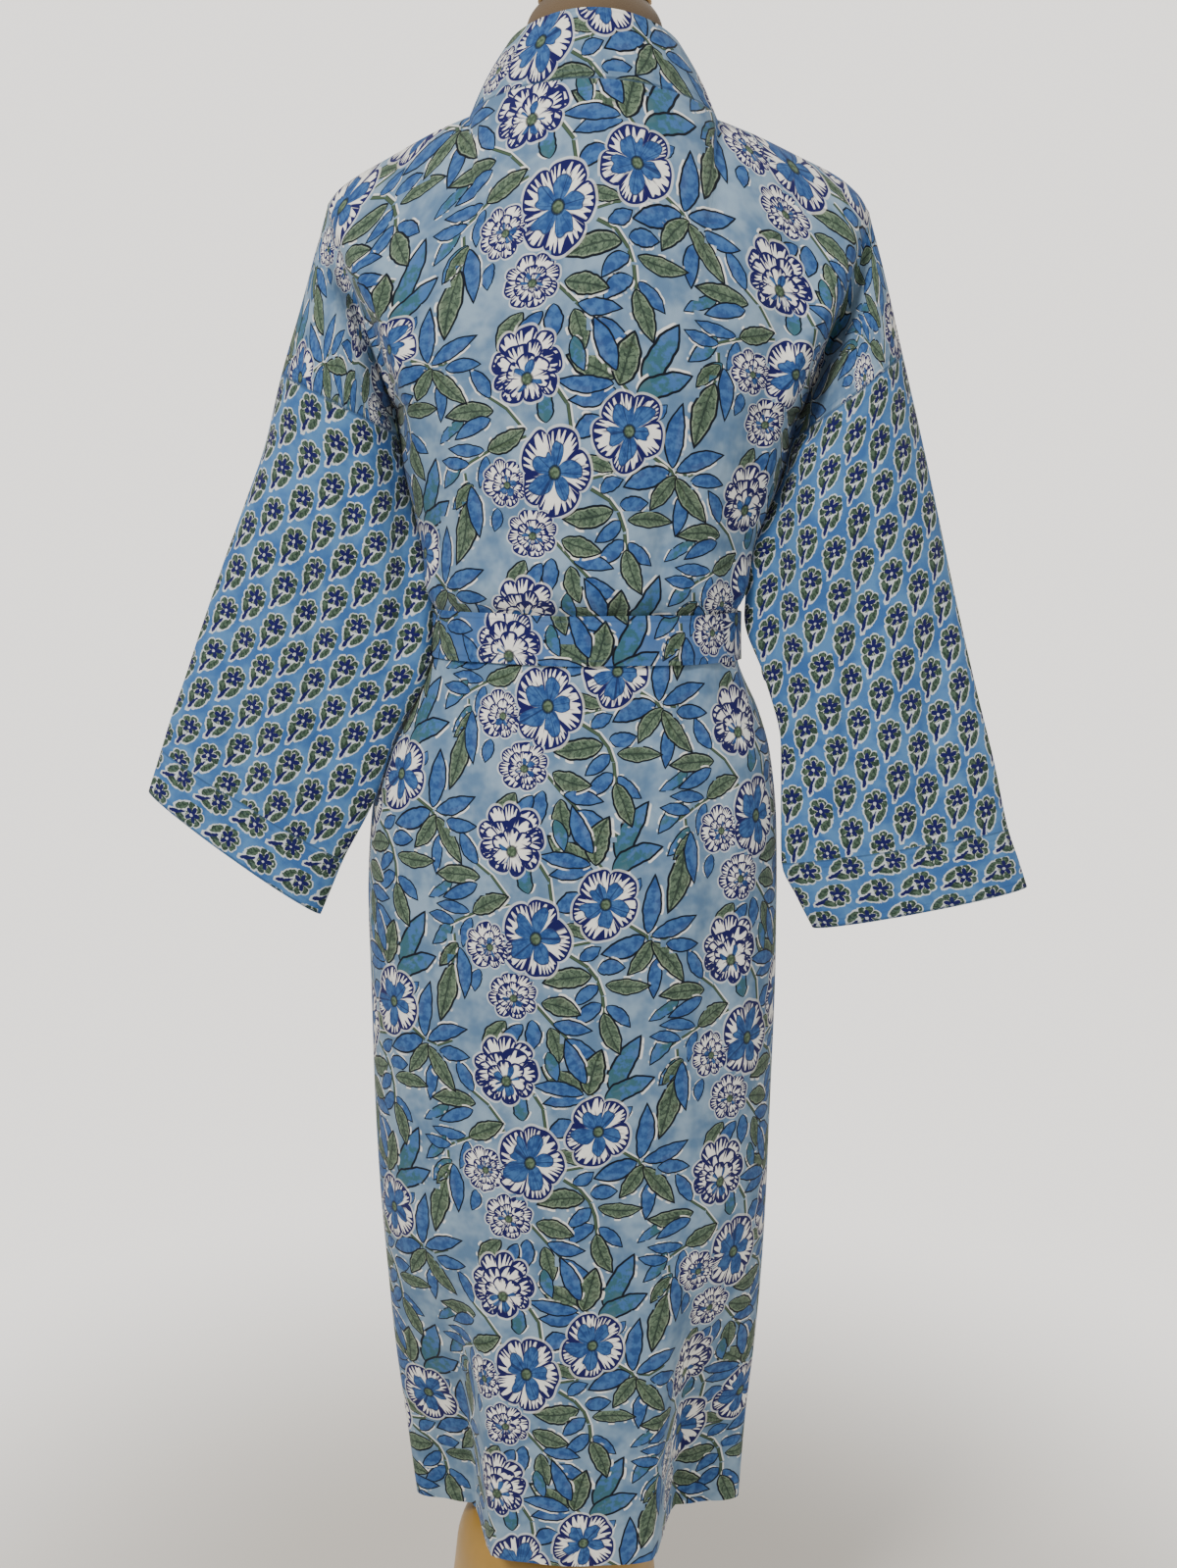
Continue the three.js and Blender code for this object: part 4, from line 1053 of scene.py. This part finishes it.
def leaf_group():
    """Paints one leaf over a colour. place: along the leaf (0 to 1), across it (-1 to 1), kind and seed."""
    group, g, place, under, blotch, out = new_group("leaf")
    s, t, code = g.split(place)
    kind = g.math("FLOOR", code)
    seed = g.part(code)
    inner = s * (1.0 - s)
    bend = (g.part(seed * 7.3) - 0.5) * 3.2
    across = t + bend * inner
    wobble = g.noise(g.join(s * 3.0, seed, code), 1.6, 1.0)
    wide = g.larger(s, 0.0) ** 0.72 * 3.15
    wide = wide * g.larger(1.0 - s, 0.0) ** 0.95 * (0.78 + wobble * 0.44)
    size = abs(across)
    gap = wide - size
    in_leaf = g.math("GREATER_THAN", s, 0.0) * g.math("LESS_THAN", s, 1.0)
    fill = in_leaf * g.ramp(gap, -0.02, 0.03)
    line = in_leaf * g.band(gap, -0.03, 0.02, 0.16, 0.23)

    side = g.math("SIGN", g.part(seed * 3.7) - 0.5)
    one_side = g.ramp(across * side, 0.05, 0.4)
    halo_size = 0.02 + one_side * 0.2
    outside = g.ramp(gap + halo_size, -0.03, 0.03)
    near = g.band(s, -0.03, 0.03, 0.98, 1.06)
    halo = outside * near * one_side * 0.8 * g.ramp(wobble, 0.46, 0.54)

    green = g.is_kind(kind, 1)
    teal = g.is_kind(kind, 2)
    blue = g.mix(blotch, BLUE_DARK, BLUE)
    green_paint = g.mix(blotch, GREEN, GREEN_LIGHT)
    teal_paint = g.mix(g.ramp(blotch * 0.6 + s, 0.55, 1.1), TEAL, BLUE)
    paint = g.mix(teal, blue, teal_paint)
    paint = g.mix(green, paint, green_paint)

    jitter = g.noise(g.join(s * 9.0, t * 3.0, code), 1.5, 2.0)
    rib = g.ramp(abs(across + (jitter - 0.5) * 0.25), 0.11, 0.05)
    slant = s * 9.0 - size * 1.5 + jitter * 1.8
    branch = g.ramp(g.teeth(slant), 0.15, 0.05) * g.ramp(gap, 0.12, 0.3)
    veins = g.larger(rib, branch) * green * in_leaf * 0.85
    rim = green * g.band(gap, 0.1, 0.16, 0.22, 0.34)
    paint = g.mix(rim * 0.7, paint, linear(150, 168, 140))
    paint = g.mix(veins, paint, VEIN)

    colour = g.mix(halo, under, CREAM)
    colour = g.mix(fill * 0.97, colour, paint)
    colour = g.mix(line, colour, INK)
    g.put(out, colour)
    return group


def flower_group():
    """Paints one flower over a colour. place: x and y as shares of its half sizes, kind and seed."""
    group, g, place, under, blotch, out = new_group("flower")
    x, y, code = g.split(place)
    kind = g.math("FLOOR", code)
    side_view = g.is_kind(kind, 2)
    round_one = g.is_kind(kind, 1)
    open_one = g.is_kind(kind, 0)

    def polar(cx, cy):
        dx, dy = x - cx, y - cy
        radius = g.length(dx, dy)
        safe = g.larger(radius, 0.04)
        return radius, g.math("ARCTAN2", dy, dx), dx / safe, dy / safe

    def petals(centre, base, swing, lobes, phase, ticks, tick_size):
        """One ring of petals: how far inside it a point lies, and its ink."""
        radius, angle, ux, uy = centre
        slow = g.noise(g.join(ux, uy, code * 5.0 + phase), 1.2, 1.0)
        wave = g.humps(angle * (lobes * 0.5) + slow * 3.0 + phase)
        edge = base + wave ** 0.5 * swing + (slow - 0.5) * 0.3
        quick = g.noise(g.join(ux * 5.0, uy * 5.0, code + phase), 1.0, 1.0)
        inside = edge - radius
        away = g.teeth(angle * (ticks / (2 * math.pi)) + slow * 6.0 + radius * 0.8)
        long = g.larger((quick * 2.6 - 0.45) * tick_size, 0.04)
        taper = g.math("DIVIDE", long - inside, long, clamp=True)
        strokes = g.ramp(away - taper ** 0.7 * 0.46, 0.05, -0.05) * g.ramp(taper, 0.0, 0.1)
        rim = g.ramp(inside, 0.085, 0.05)
        notch = g.ramp(wave, 0.26, 0.14) * g.ramp(inside, tick_size * 1.7, tick_size)
        ink = g.larger(strokes, rim, notch)
        return inside, ink * g.ramp(inside, -0.01, 0.01)

    low = polar(round_one * 0.07, side_view * -0.34 - round_one * 0.08)
    lobes = 5.0 + round_one * 3.0 + side_view * 4.0
    inside, outer_ink = petals(polar(0.0, 0.0), 0.8, 0.2, lobes, 0.3, 38.0, 0.36)
    fill = g.ramp(inside, -0.012, 0.012)
    halo = g.ramp(inside, -0.07, -0.05)
    _, ink_one = petals(low, 0.54 + side_view * 0.3, 0.14, lobes - 1.0, 1.9, 26.0, 0.3)
    _, ink_two = petals(low, 0.27 + side_view * 0.26, 0.12, lobes - 2.0, 4.1, 18.0, 0.24)
    inner_ink = g.larger(ink_one, ink_two) * (1.0 - open_one)

    radius, angle, ux, uy = low
    slow = g.noise(g.join(ux, uy, code * 7.0), 1.5, 1.0)
    heart_edge = g.humps(angle * 2.5 + slow * 3.0) ** 0.65 * 0.42 + slow * 0.7 - 0.12
    in_heart = heart_edge * (open_one * 0.46 + 0.62) - radius
    patch = open_one + (1.0 - open_one) * g.ramp(slow, 0.48, 0.54)
    heart = g.ramp(in_heart, -0.01, 0.02) * patch
    heart_line = g.band(in_heart, -0.02, 0.0, 0.02, 0.04) * patch
    spokes = g.ramp(g.teeth(angle * 1.75 + slow * 3.0) * radius, 0.03, 0.012) * heart
    hairs = g.teeth(angle * (36.0 / (2 * math.pi)) + slow * 5.0)
    hairs = g.ramp(hairs, 0.16, 0.08) * g.ramp(in_heart, -0.2, -0.04) * open_one * g.ramp(slow, 0.4, 0.5)
    core = g.ramp(radius, 0.16, 0.13)
    beads = g.noise(g.join(x * 14.0, y * 14.0, code), 1.0, 0.0)
    core_ring = g.band(radius, 0.1, 0.14, 0.17, 0.19)

    paint = g.mix(blotch * 0.3, CREAM, linear(226, 230, 226))
    paint = g.mix(heart, paint, g.mix(blotch, BLUE_DARK, BLUE))
    marks = g.larger(outer_ink, inner_ink, hairs * 0.8) * (1.0 - heart * 0.6)
    paint = g.mix(marks, paint, INDIGO)
    lines = g.larger(heart_line * 0.8, spokes * 0.75)
    paint = g.mix(lines, paint, linear(18, 34, 84))
    paint = g.mix(core, paint, g.mix(g.ramp(beads, 0.4, 0.6), GREEN, GREEN_LIGHT))
    paint = g.mix(core_ring * 0.75, paint, INK)
    g.put(out, g.mix(fill, g.mix(halo * 0.45, under, CREAM), paint))
    return group


def stem_group():
    """Paints one stretch of a stem. place: along it (0 to 1), across it in half widths."""
    group, g, place, under, _, out = new_group("stem")
    s, t, _ = g.split(place)
    within = g.band(s, -0.12, -0.06, 1.06, 1.12)
    size = abs(t)
    fill = within * g.ramp(size, 1.1, 0.95)
    line = within * g.band(size, 0.6, 0.85, 1.1, 1.3)
    halo = within * g.band(t, 0.0, 0.2, 2.1, 2.4)
    colour = g.mix(halo * 0.7, under, CREAM)
    colour = g.mix(fill, colour, GREEN)
    colour = g.mix(line * 0.75, colour, linear(26, 46, 34))
    g.put(out, colour)
    return group


def sprig_group():
    """A half-drop grid of small blossoms. place: flat cloth millimetres."""
    group, g, place, under, _, out = new_group("sprigs")
    u, v, _ = g.split(place)
    column = g.math("ROUND", u / SPRIG_STEP)
    row_at = v / SPRIG_REPEAT - g.math("PINGPONG", column, 1.0) * 0.5
    row = g.math("ROUND", row_at)
    x = (u - column * SPRIG_STEP - 0.5) / 1.02
    y = ((row_at - row) * SPRIG_REPEAT - 1.2) / 1.02
    seed = g.part(column * 0.37 + row * 0.61)
    rough = g.noise(g.join(x, y, seed * 40.0), 0.35, 2.0)
    wobble = (rough - 0.5) * 2.2

    def blob(cx, cy, rx, ry, turn):
        """Distance inside an oval, in millimetres, about."""
        dx, dy = x - cx, y - cy
        c, s = math.cos(math.radians(turn)), math.sin(math.radians(turn))
        px = dx * (c / rx) + dy * (s / rx)
        py = dx * (-s / ry) + dy * (c / ry)
        return (1.0 - g.length(px, py)) * min(rx, ry)

    dx, dy = x - 1.5, y - 4.0
    angle = g.math("ARCTAN2", dy, dx)
    radius = g.length(dx, dy)
    fan = g.humps(angle * 3.5)
    petals = g.math("MINIMUM", 7.2 + fan ** 0.45 * 3.0 - radius, dy + 6.0)
    green = g.larger(petals, blob(-5.2, -5.5, 3.0, 6.5, 20), blob(3.6, -7.4, 3.0, 6.8, -38))
    star = 2.4 + g.humps((angle + 0.5) * 2.5) ** 1.2 * 4.6 - radius
    ink = g.larger(star, blob(-4.4, -12.2, 1.7, 4.8, -18), blob(-1.8, -7.0, 1.3, 4.2, -30))
    everything = g.larger(green, ink) + wobble
    gaps = g.ramp(fan, 0.16, 0.06) * g.ramp(radius, 4.0, 5.5) * g.ramp(petals, -0.2, 0.4)
    feather = g.noise(g.join(x, y * 0.5, seed), 0.8, 1.0)

    colour = g.mix(g.ramp(everything, -1.2, -0.8) * 0.72, under, linear(240, 244, 236))
    green_paint = g.mix(g.ramp(feather, 0.42, 0.62), linear(40, 60, 52), linear(80, 102, 84))
    colour = g.mix(g.ramp(green + wobble, -0.2, 0.3), colour, green_paint)
    colour = g.mix(gaps * 0.8, colour, linear(232, 238, 228))
    star_gap = g.band(star + wobble, -1.1, -0.7, -0.3, 0.1)
    colour = g.mix(star_gap * g.ramp(rough, 0.48, 0.56) * 0.9, colour, linear(236, 240, 232))
    colour = g.mix(g.ramp(ink + wobble, -0.15, 0.3), colour, INDIGO)
    hole = blob(0.8, 3.2, 1.2, 1.5, 0)
    colour = g.mix(g.ramp(hole + wobble, 0.0, 0.4) * 0.85, colour, linear(214, 222, 222))
    g.put(out, colour)
    return group


def new_material(name):
    material = bpy.data.materials.new(name)
    material.use_nodes = True
    material.node_tree.nodes.clear()
    g = Graph(material.node_tree)
    shader = g.node("ShaderNodeBsdfPrincipled")
    output = g.node("ShaderNodeOutputMaterial")
    g.put(output.inputs["Surface"], shader.outputs[0])
    return material, g, shader


def set_inputs(shader, **values):
    for label, value in values.items():
        shader.inputs[label.replace("_", " ")].default_value = value


def cloth_material(name, paint, edge_shade_and_stitch):
    """paint gives the printed colour; over it come the weave, soft small creases and the sewn edges, with
    painted shade in their grooves and a darker stitch line beside them.
    """
    material, g, shader = new_material(name)
    u, v, seam = g.split(g.attribute("cloth"))
    flat = g.join(u, v)
    colour = paint(g, flat)
    # Painted shade: the colour darkens in the grooves along the sewn edges and along the belt's top and bottom
    # edges, and a darker stitch line runs beside them. The groove is also a bump.
    groove = g.ramp(seam, 2.4, 0.8)
    stitch = g.ramp(abs(seam - 6.5), 1.3, 0.3) * 0.5
    colour = g.mix(g.larger(groove, stitch * 0.5) * edge_shade_and_stitch, colour, linear(50, 74, 104))
    grain = g.noise(g.join(u, v * 0.35), 1.3, 2.0, 0.6)
    slub = g.noise(g.join(u * 0.06, v * 1.4, 3.0), 1.0, 1.0)
    soft = g.noise(flat, 0.028, 3.0, 0.55)
    rumple = g.noise(g.join(u * 0.075, v * 0.022, 9.0), 1.0)
    height = grain * 0.1 + slub * 0.05 + soft * 1.3 + rumple * 1.6 - groove * 0.8 - stitch * 0.3
    g.bump(shader, height, 0.75, 0.001)
    shade = grain * 0.12 + 0.94
    tint = g.node("ShaderNodeMix", data_type="RGBA", blend_type="MULTIPLY")
    tint.inputs["Factor"].default_value = 1.0
    g.put_all(tint.inputs[6:8], (colour, g.join(shade, shade, shade)))
    g.put(shader.inputs["Base Color"], tint.outputs[2])
    set_inputs(shader, Roughness=0.86, Specular_IOR_Level=0.25, Sheen_Weight=0.12, Sheen_Roughness=0.5)
    return material


def use_group(g, group, **values):
    made = g.node("ShaderNodeGroup", node_tree=group)
    for label, value in values.items():
        g.put(made.inputs[label], value)
    return made.outputs[0]


def flower_cloth(name, deeper, edge_shade_and_stitch):
    def paint(g, flat):
        wash = g.noise(flat, 0.02, 3.0, 0.6) * 0.6 + g.noise(flat, 0.055, 2.0, 0.6) * 0.4
        ground = g.mix(g.ramp(wash, 0.38, 0.62), GROUND_DEEP, GROUND_PALE)
        colour = g.mix(deeper, ground, linear(44, 92, 160))
        blotch = g.ramp(g.noise(flat, 0.16, 2.0, 0.6), 0.38, 0.62)
        for layer in ("stem", "leaf_0", "leaf_1", "leaf_2", "flower"):
            group = GROUPS[layer.split("_")[0]]
            colour = use_group(g, group, place=g.attribute(layer), under=colour, blotch=blotch)
        return colour

    return cloth_material(name, paint, edge_shade_and_stitch)


def sprig_cloth(name, edge_shade_and_stitch):
    def paint(g, flat):
        wash = g.noise(flat, 0.035, 3.0, 0.6)
        ground = g.mix(g.ramp(wash, 0.36, 0.64), SPRIG_BLUE_DEEP, SPRIG_BLUE)
        return use_group(g, GROUPS["sprigs"], place=flat, under=ground)

    return cloth_material(name, paint, edge_shade_and_stitch)


def plain(name, colour, roughness, metallic=0.0, coat=0.0):
    material, g, shader = new_material(name)
    place = g.node("ShaderNodeTexCoord").outputs["Object"]
    cloud = g.noise(place, 14.0, 3.0, 0.6)
    low = tuple(c * 0.86 for c in colour[:3]) + (1.0,)
    g.put(shader.inputs["Base Color"], g.mix(g.ramp(cloud, 0.35, 0.65), low, colour))
    set_inputs(shader, Roughness=roughness, Metallic=metallic, Coat_Weight=coat, Coat_Roughness=0.25)
    return material


def form_cloth():
    material = plain("form_cloth", linear(104, 86, 64), 0.92)
    g = Graph(material.node_tree)
    shader = [node for node in material.node_tree.nodes if node.type == "BSDF_PRINCIPLED"][0]
    weave = g.noise(g.node("ShaderNodeTexCoord").outputs["Object"], 900.0, 2.0, 0.6)
    g.bump(shader, weave, 0.5, 0.0006)
    set_inputs(shader, Sheen_Weight=0.2)
    return material


GROUPS = {"leaf": leaf_group(), "flower": flower_group(), "stem": stem_group(), "sprigs": sprig_group()}
# The last number sets the painted shade in the seam grooves and the stitch line. The belt has the most.
cotton_flowers = flower_cloth("cotton_flowers", 0.0, 0.6)
cotton_belt = flower_cloth("cotton_flowers_belt", 0.72, 1.0)
cotton_sprigs = sprig_cloth("cotton_sprigs", 0.6)
form_fabric = form_cloth()
gold_trim = plain("gold_trim", linear(186, 146, 84), 0.36, metallic=0.75)
dark_wood = plain("dark_wood", linear(74, 40, 30), 0.38, coat=0.3)
ochre_paint = plain("ochre_paint", linear(178, 138, 62), 0.42, coat=0.25)

# Cloth pieces: node, grids, material
CLOTH = [
    ("back", back_grids(), cotton_flowers),
    ("front_left", front_grids("left"), cotton_flowers),
    ("front_right", front_grids("right"), cotton_flowers),
    ("sleeve_left", arm_grids("left", SEAM_RING, CUFF_RING, 66, False), cotton_sprigs),
    ("sleeve_right", arm_grids("right", SEAM_RING, CUFF_RING, 68, False), cotton_sprigs),
    ("cuff_left", arm_grids("left", CUFF_RING, LAST_RING, 9, True), cotton_sprigs),
    ("cuff_right", arm_grids("right", CUFF_RING, LAST_RING, 9, True), cotton_sprigs),
    ("collar", collar_grids(), cotton_flowers),
    ("belt", belt_grids(), cotton_belt),
    ("belt_end_left", tail_grids("belt_end_left"), cotton_belt),
    ("belt_end_right", tail_grids("belt_end_right"), cotton_belt),
]


def finish_piece(piece, node, material):
    piece.data.materials.clear()
    piece.data.materials.append(material)
    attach(piece, "root")
    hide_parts(node)


pieces = {}
for node, grids, material in CLOTH:
    printed = material != cotton_sprigs
    pieces[node] = build_mesh("v_" + node, grids, CLOTH_WALL, printed)
    finish_piece(pieces[node], node, material)


# The knot: a soft pad with three wrapped grooves, each a slope over x and z, a place, a width and a depth
GROOVES = [(0.8, 0.35, 0.25, 0.12, 1.0), (0.8, -0.3, -0.42, 0.1, 1.0), (-0.1, 1.0, 0.2, 0.1, 0.6)]


def knot_grid():
    across = across_of(np.array(KNOT["share"]))
    level = np.array(KNOT["z"])
    lift = over_wrap(np.array(KNOT["share"]), level) + BELT_LIFT
    seat = lifted_point(across, -1, level, lift)
    centre = lifted_point(across, -1, level, lift + 0.3 + KNOT["depth"] / 2)
    up = np.array([0.0, 0.0, 1.0])
    out = unit(centre - seat)
    side = unit(np.cross(up, out))
    lat = np.linspace(-np.pi / 2, np.pi / 2, 37)[:, None]
    lon = np.linspace(0, 2 * np.pi, 73)[None, :]
    ball = points(np.cos(lat) * np.cos(lon), np.cos(lat) * np.sin(lon), np.sin(lat))
    ball = ball / (np.abs(ball) ** 3).sum(-1, keepdims=True) ** (1 / 3)
    wrap = 0
    for slope_x, slope_z, at, width, deep in GROOVES:
        wrap += deep * np.exp(-(((ball[..., 0] * slope_x + ball[..., 2] * slope_z - at) / width) ** 2))
    ball = ball * (1 - 0.13 * wrap)[..., None] / 2
    axes = np.stack([side * KNOT["width"], out * KNOT["depth"], up * KNOT["height"]])
    place = centre + ball @ axes
    place[:, -1] = place[:, 0]
    uv = np.stack([lon * 12 + 0 * lat, lat * 22 + 40 + 0 * lon], axis=-1)
    return strip_grid(place, uv, np.full(place.shape[:2], 30.0), True)


knot = build_mesh("v_belt_knot", [knot_grid()], 0.0, True)
finish_piece(knot, "belt_knot", cotton_belt)


# Turned pieces of the form and its foot
def turned(name, profile, segments, squash, x):
    """A closed solid of rings, each radius and height of the profile a ring."""
    turn = np.linspace(0, 2 * np.pi, segments, endpoint=False)
    r, z = np.array(profile, float).T[..., None]
    verts = points(x + SHIFT_X + r * np.cos(turn), r * np.sin(turn) * squash, z) * MM
    around = np.arange(segments)
    after = (around + 1) % segments
    base = np.arange(len(profile) - 1)[:, None] * segments
    low, high = base + around, base + after
    quads = np.stack([low, high, high + segments, low + segments], axis=-1)
    last = (len(profile) - 1) * segments
    faces = quads.reshape(-1, 4).tolist() + [around[::-1].tolist(), (last + around).tolist()]
    mesh = bpy.data.meshes.new(name)
    mesh.from_pydata(verts.reshape(-1, 3).tolist(), [], faces)
    mesh.polygons.foreach_set("use_smooth", np.array([len(f) == 4 for f in faces], bool))
    mesh.update()
    return add_object(name, mesh)


def arc(r0, z0, r1, z1, bulge, count):
    """Points between two profile points, bowed outwards."""
    t = np.linspace(0, 1, count)
    bow = np.sin(np.pi * t) * bulge / math.hypot(z1 - z0, r1 - r0)
    r = lerp(r0, r1, t) + (z1 - z0) * bow
    z = lerp(z0, z1, t) - (r1 - r0) * bow
    return list(zip(r.tolist(), z.tolist()))


def joined_profile(*parts):
    found = []
    for point in sum(parts, []):
        if not found or math.dist(point, found[-1]) > 0.05:
            found.append(point)
    return found


neck_profile = joined_profile(arc(56, 1478.3, 56, 1526, -0.6, 10), arc(56, 1526, 44, 1548.5, 2.4, 12))
rim_profile = joined_profile(arc(43.5, 1548.8, 43.5, 1553.2, 2.4, 10))
cap_profile = joined_profile(arc(41, 1553.5, 41, 1558, 0, 3), arc(41, 1558, 4, 1577, 3.6, 16))
foot_profile = joined_profile(
    arc(150, 0, 151, 12, 0.4, 4), arc(151, 12, 143, 24, 1.0, 5), arc(143, 24, 103, 110, -9, 16),
    arc(103, 110, 91, 200, -1.0, 12), arc(91, 200, 84, 228, 1.5, 6), arc(84, 228, 60, 243, 3.0, 8),
)
for node, profile, segments, squash, x, material, slot in [
    ("form_neck", neck_profile, 96, 0.9, 0.0, form_fabric, "form_cloth"),
    ("form_rim", rim_profile, 96, 0.9, 0.0, gold_trim, "gold_trim"),
    ("form_cap", cap_profile, 96, 0.9, 0.0, dark_wood, "dark_wood"),
    ("stand_foot", foot_profile, 128, 1.0, STAND_X, ochre_paint, "ochre_paint"),
]:
    finish_piece(turned("v_" + node, profile, segments, squash, x), node, material)

for node, material in (("form_torso", form_fabric), ("stand_post", dark_wood)):
    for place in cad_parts[node].material_slots:
        place.material = material


# Stage, light and camera, in metres
FLOOR_RADIUS = 1.4
CAMERA_PLACE = (0.0013, 1.433, 1.150)
CAMERA_PITCH = math.radians(9.3)
CAMERA_ROLL = math.radians(0.72)
CAMERA_LENS = 38.60


def floor_piece():
    """A pale round floor that fades out towards its rim."""
    turns = [2 * math.pi * k / 96 for k in range(96)]
    mesh = bpy.data.meshes.new("floor")
    ring = [(FLOOR_RADIUS * math.cos(a), FLOOR_RADIUS * math.sin(a), 0.0) for a in turns]
    mesh.from_pydata(ring, [], [list(range(len(ring)))])
    material, g, shader = new_material("floor_pale")
    set_inputs(shader, Base_Color=linear(226, 222, 215), Roughness=0.9, Specular_IOR_Level=0.1)
    x, y, _ = g.split(g.node("ShaderNodeTexCoord").outputs["Object"])
    blend = g.node("ShaderNodeMixShader")
    clear = g.node("ShaderNodeBsdfTransparent")
    g.put_all(blend.inputs, (g.ramp(g.length(x, y), 0.35, 1.3), shader.outputs[0], clear.outputs[0]))
    output = [node for node in material.node_tree.nodes if node.type == "OUTPUT_MATERIAL"][0]
    g.put(output.inputs["Surface"], blend.outputs[0])
    mesh.materials.append(material)
    add_object("floor", mesh)


def place_at(piece, right, up, back, place):
    piece.matrix_world = Matrix(np.vstack([np.column_stack([right, up, back, place]), [0, 0, 0, 1]]).tolist())


def area_light(name, place, target, size, power, colour):
    data = bpy.data.lights.new(name, "AREA")
    data.shape = "DISK"
    data.size = size
    data.energy = power
    data.color = colour
    back = unit(np.array(place) - np.array(target))
    right = unit(np.cross([0.0, 0.0, 1.0], back))
    place_at(add_object(name, data), right, np.cross(back, right), back, place)


def camera():
    data = bpy.data.cameras.new("photo_camera")
    data.sensor_fit = "VERTICAL"
    data.sensor_height = 36.0
    data.lens = CAMERA_LENS
    data.clip_start = 0.05
    ahead = np.array([0.0, -math.cos(CAMERA_PITCH), -math.sin(CAMERA_PITCH)])
    right = np.array([-1.0, 0.0, 0.0])
    up = np.cross(right, ahead)
    c, s = math.cos(CAMERA_ROLL), math.sin(CAMERA_ROLL)
    right, up = right * c + up * s, up * c - right * s
    made = add_object("photo_camera", data)
    place_at(made, right, up, -ahead, CAMERA_PLACE)
    bpy.context.scene.camera = made


def room():
    """A pale room, shown to the camera brighter than it lights the cloth."""
    world = bpy.data.worlds.new("room")
    bpy.context.scene.world = world
    world.use_nodes = True
    g = Graph(world.node_tree)
    lighting = world.node_tree.nodes["Background"]
    set_inputs(lighting, Color=linear(226, 221, 214), Strength=0.74)
    wall = g.node("ShaderNodeBackground")
    set_inputs(wall, Color=linear(230, 226, 221), Strength=2.3)
    choose = g.node("ShaderNodeMixShader")
    seen = g.node("ShaderNodeLightPath").outputs["Is Camera Ray"]
    g.put_all(choose.inputs, (seen, lighting.outputs[0], wall.outputs[0]))
    g.put(world.node_tree.nodes["World Output"].inputs["Surface"], choose.outputs[0])


floor_piece()
area_light("key", (1.3, 2.0, 2.7), (0.0, 0.0, 1.0), 0.8, 62, (1.0, 0.97, 0.93))
area_light("fill", (-1.8, 2.2, 1.5), (0.0, 0.0, 0.9), 1.4, 12, (0.95, 0.97, 1.0))
area_light("rear", (-0.6, -2.4, 2.2), (0.0, 0.0, 1.0), 1.4, 26, (1.0, 0.99, 0.97))
room()
camera()
